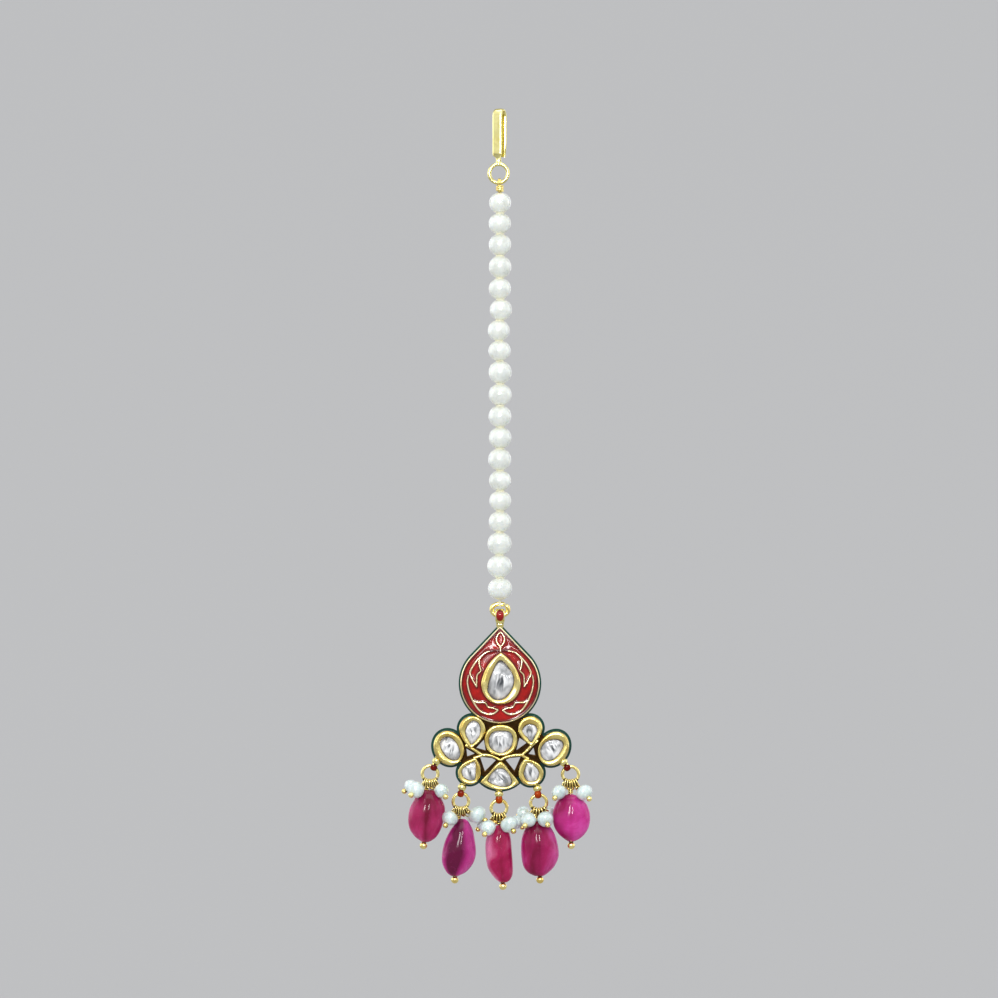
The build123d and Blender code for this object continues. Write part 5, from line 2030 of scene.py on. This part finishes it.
@dataclass
class Studio:
    """A long-lens camera straight in front, soft lamps, and a pale sweep."""

    lens: float = 200.0
    sensor: float = 36.0
    frame_width: float = 181.45
    aim: Triple = (-0.18, 0.0, -70.45)
    floor_z: float = -190.0
    bend_radius: float = 260.0
    sheet_columns: tuple[float, ...] = (-1600.0, -500.0, 500.0, 1600.0)
    sheet_front: tuple[float, ...] = (-1500.0, -700.0, 0.0)
    sheet_top: tuple[float, ...] = (700.0, 1500.0)
    # the room's brightness from straight below (0) to straight above (1); the two ends come first
    room: Pairs = (
        (0.0, 0.10), (1.0, 0.72), (0.40, 0.20), (0.5, 0.27), (0.53, 0.60), (0.68, 0.52),
    )
    room_tint: Colour = (0.97, 0.985, 1.0)
    glossy_gain: float = 0.75
    seen_level: float = 0.53

    def camera(self) -> None:
        """Sets the camera up."""
        data = bpy.data.cameras.new("camera")
        data.lens = self.lens
        data.sensor_width = self.sensor
        data.clip_start = 0.01
        data.clip_end = 20.0
        rig = bpy.data.objects.new("camera", data)
        distance = self.frame_width * self.lens / self.sensor
        rig.location = (self.aim[0] * MM, -distance * MM, self.aim[2] * MM)
        rig.rotation_euler = (math.pi / 2, 0.0, 0.0)
        bpy.context.scene.collection.objects.link(rig)
        bpy.context.scene.camera = rig

    def sweep(self) -> None:
        """Makes the floor and backdrop as one curved sheet."""
        turn = np.linspace(-math.pi / 2, 0.0, 24)
        bend = self.bend_radius
        wall = [2 * bend] * len(self.sheet_top)
        y = np.concatenate([self.sheet_front, bend + bend * np.cos(turn), wall])
        z = np.concatenate([[0.0] * len(self.sheet_front), bend + bend * np.sin(turn), self.sheet_top])
        across, back = np.meshgrid(self.sheet_columns, y)
        _, up = np.meshgrid(self.sheet_columns, z + self.floor_z)
        shape = Shape().add(np.stack([across, back, up], axis=-1), around=False)
        mesh = bpy.data.meshes.new("backdrop")
        mesh.from_pydata((shape.points[0] * MM).tolist(), [], shape.faces)
        mesh.polygons.foreach_set("use_smooth", np.ones(len(mesh.polygons), bool))
        mesh.materials.append(PaleSweep().material())
        backdrop = bpy.data.objects.new("backdrop", mesh)
        bpy.context.scene.collection.objects.link(backdrop)

    def surround(self) -> None:
        """Sets the room's light: bright overhead, dim below, and one even tone for sight."""
        world = bpy.data.worlds.new("room")
        bpy.context.scene.world = world
        world.use_nodes = True
        tree = world.node_tree
        tree.nodes.clear()
        output, light, way, split, height = (
            tree.nodes.new(f"ShaderNode{kind}")
            for kind in ("OutputWorld", "Background", "TexCoord", "SeparateXYZ", "MapRange")
        )
        level, gain, glint, seen = (
            tree.nodes.new(f"ShaderNode{kind}") for kind in ("ValToRGB", "Math", "Math", "Mix")
        )
        height.inputs["From Min"].default_value = -1.0
        for k, (place, shade) in enumerate(self.room):
            stop = level.color_ramp.elements[k] if k < 2 else level.color_ramp.elements.new(place)
            stop.position = place
            stop.color = (shade, shade, shade, 1.0)
        gain.operation = "MULTIPLY_ADD"
        gain.inputs[1].default_value = self.glossy_gain
        gain.inputs[2].default_value = 1.0
        glint.operation = "MULTIPLY"
        seen.inputs[3].default_value = self.seen_level
        light.inputs["Color"].default_value = (*self.room_tint, 1.0)
        wires = (
            (way.outputs["Generated"], split.inputs[0]),
            (split.outputs["Z"], height.inputs["Value"]),
            (height.outputs[0], level.inputs["Fac"]),
            (ray_kinds(tree, ("Is Glossy Ray",)), gain.inputs[0]),
            (level.outputs[0], glint.inputs[0]),
            (gain.outputs[0], glint.inputs[1]),
            (ray_kinds(tree, ("Is Camera Ray", "Is Transmission Ray")), seen.inputs[0]),
            (glint.outputs[0], seen.inputs[2]),
            (seen.outputs[0], light.inputs["Strength"]),
            (light.outputs[0], output.inputs["Surface"]),
        )
        for start, end in wires:
            tree.links.new(start, end)

    def build(self) -> None:
        """Sets up everything round the jewel."""
        self.camera()
        for lamp in LAMPS:
            lamp.hang()
        self.sweep()
        self.surround()
        bpy.context.scene.view_settings.view_transform = "Standard"


# ---- the whole jewel
RUBIES = (
    Bead(
        ((2.9, -1.0, 0.35), (3.12, -1.7, 0.9), (3.6, -2.25, 1.45), (4.68, -2.9, 2.2), (6.2, -3.7, 2.75),
         (8.2, -4.0, 2.5), (10.0, -3.72, 2.05), (11.4, -2.8, 1.2), (12.1, -1.85, 0.35),
         (12.4, -1.4, -0.3)),
        deep=2.35, head=(-1.2, 13.05), bands=(0.75, 0.55, 0.12, 0.38, 0.55), turn=-12.0,
        core=(0.17, 0.005, 0.03), flesh=(0.39, 0.022, 0.11), glow=(0.56, 0.08, 0.25),
    ),
    Bead(
        ((3.2, -0.3, 0.7), (3.7, -0.75, 1.4), (5.3, -1.98, 2.2), (7.5, -3.02, 2.62), (9.7, -3.47, 2.73),
         (11.4, -3.38, 2.2), (12.8, -2.69, 1.02), (13.4, -2.07, -0.07), (13.6, -1.65, -0.55)),
        deep=2.35, head=(-1.1, 14.3), bands=(0.7, 0.1, 0.2, 0.62, 0.8), turn=-14.0,
        core=(0.12, 0.004, 0.04), flesh=(0.42, 0.022, 0.19), glow=(0.58, 0.085, 0.33),
    ),
    Bead(
        ((3.1, -0.3, 0.75), (3.6, -1.05, 1.4), (5.2, -2.22, 2.1), (7.7, -2.5, 2.36), (10.5, -2.16, 2.54),
         (12.0, -1.4, 2.5), (13.0, -0.55, 2.1), (13.5, 0.1, 1.5)),
        deep=2.05, head=(0.72, 14.25), bands=(1.0, 0.5, 0.3, 0.4, 0.5), turn=5.0,
        core=(0.22, 0.005, 0.035), flesh=(0.42, 0.013, 0.095), glow=(0.72, 0.22, 0.40),
    ),
    Bead(
        ((3.35, -0.5, 0.4), (3.55, -1.15, 1.05), (3.95, -1.75, 1.75), (4.9, -2.5, 2.5),
         (6.0, -2.98, 3.05), (7.6, -3.2, 3.5), (9.8, -3.15, 3.62), (11.6, -2.75, 2.85),
         (12.7, -1.95, 1.8), (13.3, -0.85, 0.95)),
        deep=2.45, head=(0.25, 14.05), bands=(0.6, 0.22, 0.32, 0.5, 0.85), turn=8.0,
        core=(0.18, 0.004, 0.035), flesh=(0.38, 0.014, 0.11), glow=(0.64, 0.11, 0.38),
    ),
    Bead(
        ((3.6, -0.5, 0.35), (3.78, -1.1, 0.95), (4.15, -1.75, 1.7), (4.7, -2.32, 2.4), (5.6, -2.83, 3.05),
         (6.9, -3.22, 3.48), (8.3, -3.24, 3.58), (9.7, -2.9, 3.32), (10.9, -2.15, 2.6),
         (11.75, -1.15, 1.6), (12.15, -0.5, 0.8)),
        deep=2.5, head=(0.12, 12.95), bands=(0.25, 0.3, 0.62, 0.75, 0.6), turn=60.0,
        core=(0.29, 0.008, 0.085), flesh=(0.55, 0.034, 0.26), glow=(0.68, 0.10, 0.42),
    ),
)

POLISHED = Gold("polished gold", GoldWork.POLISHED, (0.9, 0.82, 0.36), (0.8, 0.7, 0.26))
# a darker copy of the gold, as painted shade on the openwork's collars and ribs
DIMMED = Gold("worn gold", GoldWork.BURNISHED, (0.84, 0.71, 0.26), (0.66, 0.48, 0.13))
# near-black gold: painted shade for the plate between the settings
SHADOWED = Gold(
    "tarnished gold", GoldWork.BURNISHED, (0.3, 0.16, 0.04), (0.2, 0.1, 0.02), (0.035, 0.016, 0.005),
)
DRAWN = Gold("drawn gold wire", GoldWork.DRAWN)
BURNISHED = Gold("burnished gold", GoldWork.BURNISHED)
PALE_LINE = Gold("pale gold line", GoldWork.DRAWN, (1.0, 0.88, 0.58), (0.92, 0.76, 0.42))
IVORY = Nacre("ivory nacre", (0.75, 0.79, 0.76), (0.65, 0.69, 0.655), (0.86, 0.82, 0.56))
COOL = Nacre("cool nacre", (0.7, 0.81, 0.8), (0.52, 0.635, 0.625), (0.60, 0.55, 0.36), 1.1)
RED = Enamel("red enamel", (0.5, 0.009, 0.006), (0.24, 0.003, 0.002), (0.03, 0.001, 0.001))
GREEN = Enamel("green enamel", (0.006, 0.07, 0.05), (0.004, 0.045, 0.034), (0.002, 0.02, 0.017))
# the small enamels let into the lugs are duller
DARK_RED = Enamel(
    "dark red enamel", (0.19, 0.007, 0.003), (0.09, 0.003, 0.002), (0.03, 0.001, 0.001), gloss=0.2,
)
RUST = Enamel("rust enamel", (0.36, 0.03, 0.004), (0.19, 0.010, 0.002), (0.06, 0.003, 0.001), gloss=0.2)
ORANGE = Enamel("orange enamel", (0.5, 0.075, 0.002), (0.28, 0.022, 0.001), (0.09, 0.005, 0.001), gloss=0.2)


def main() -> None:
    """Builds the studio and then the jewel from the hook down."""
    logging.basicConfig(level=logging.INFO, format="%(name)s: %(message)s")
    Studio().build()
    HairHook(POLISHED).build()
    PearlString(DRAWN, IVORY, Silk()).build()
    Teardrop(BURNISHED, PALE_LINE, RED).build()
    Openwork(DIMMED, SHADOWED).build()
    Hangings(POLISHED, RED, (DARK_RED, RUST, ORANGE, ORANGE, DARK_RED)).build()
    EnamelledBack(GREEN).build()
    wire, seed_nacre = DRAWN.material(), COOL.material()
    for number, bead in enumerate(RUBIES, 1):
        BeadDrop(number, bead, wire, seed_nacre).build()


if __name__ == "__main__":
    main()
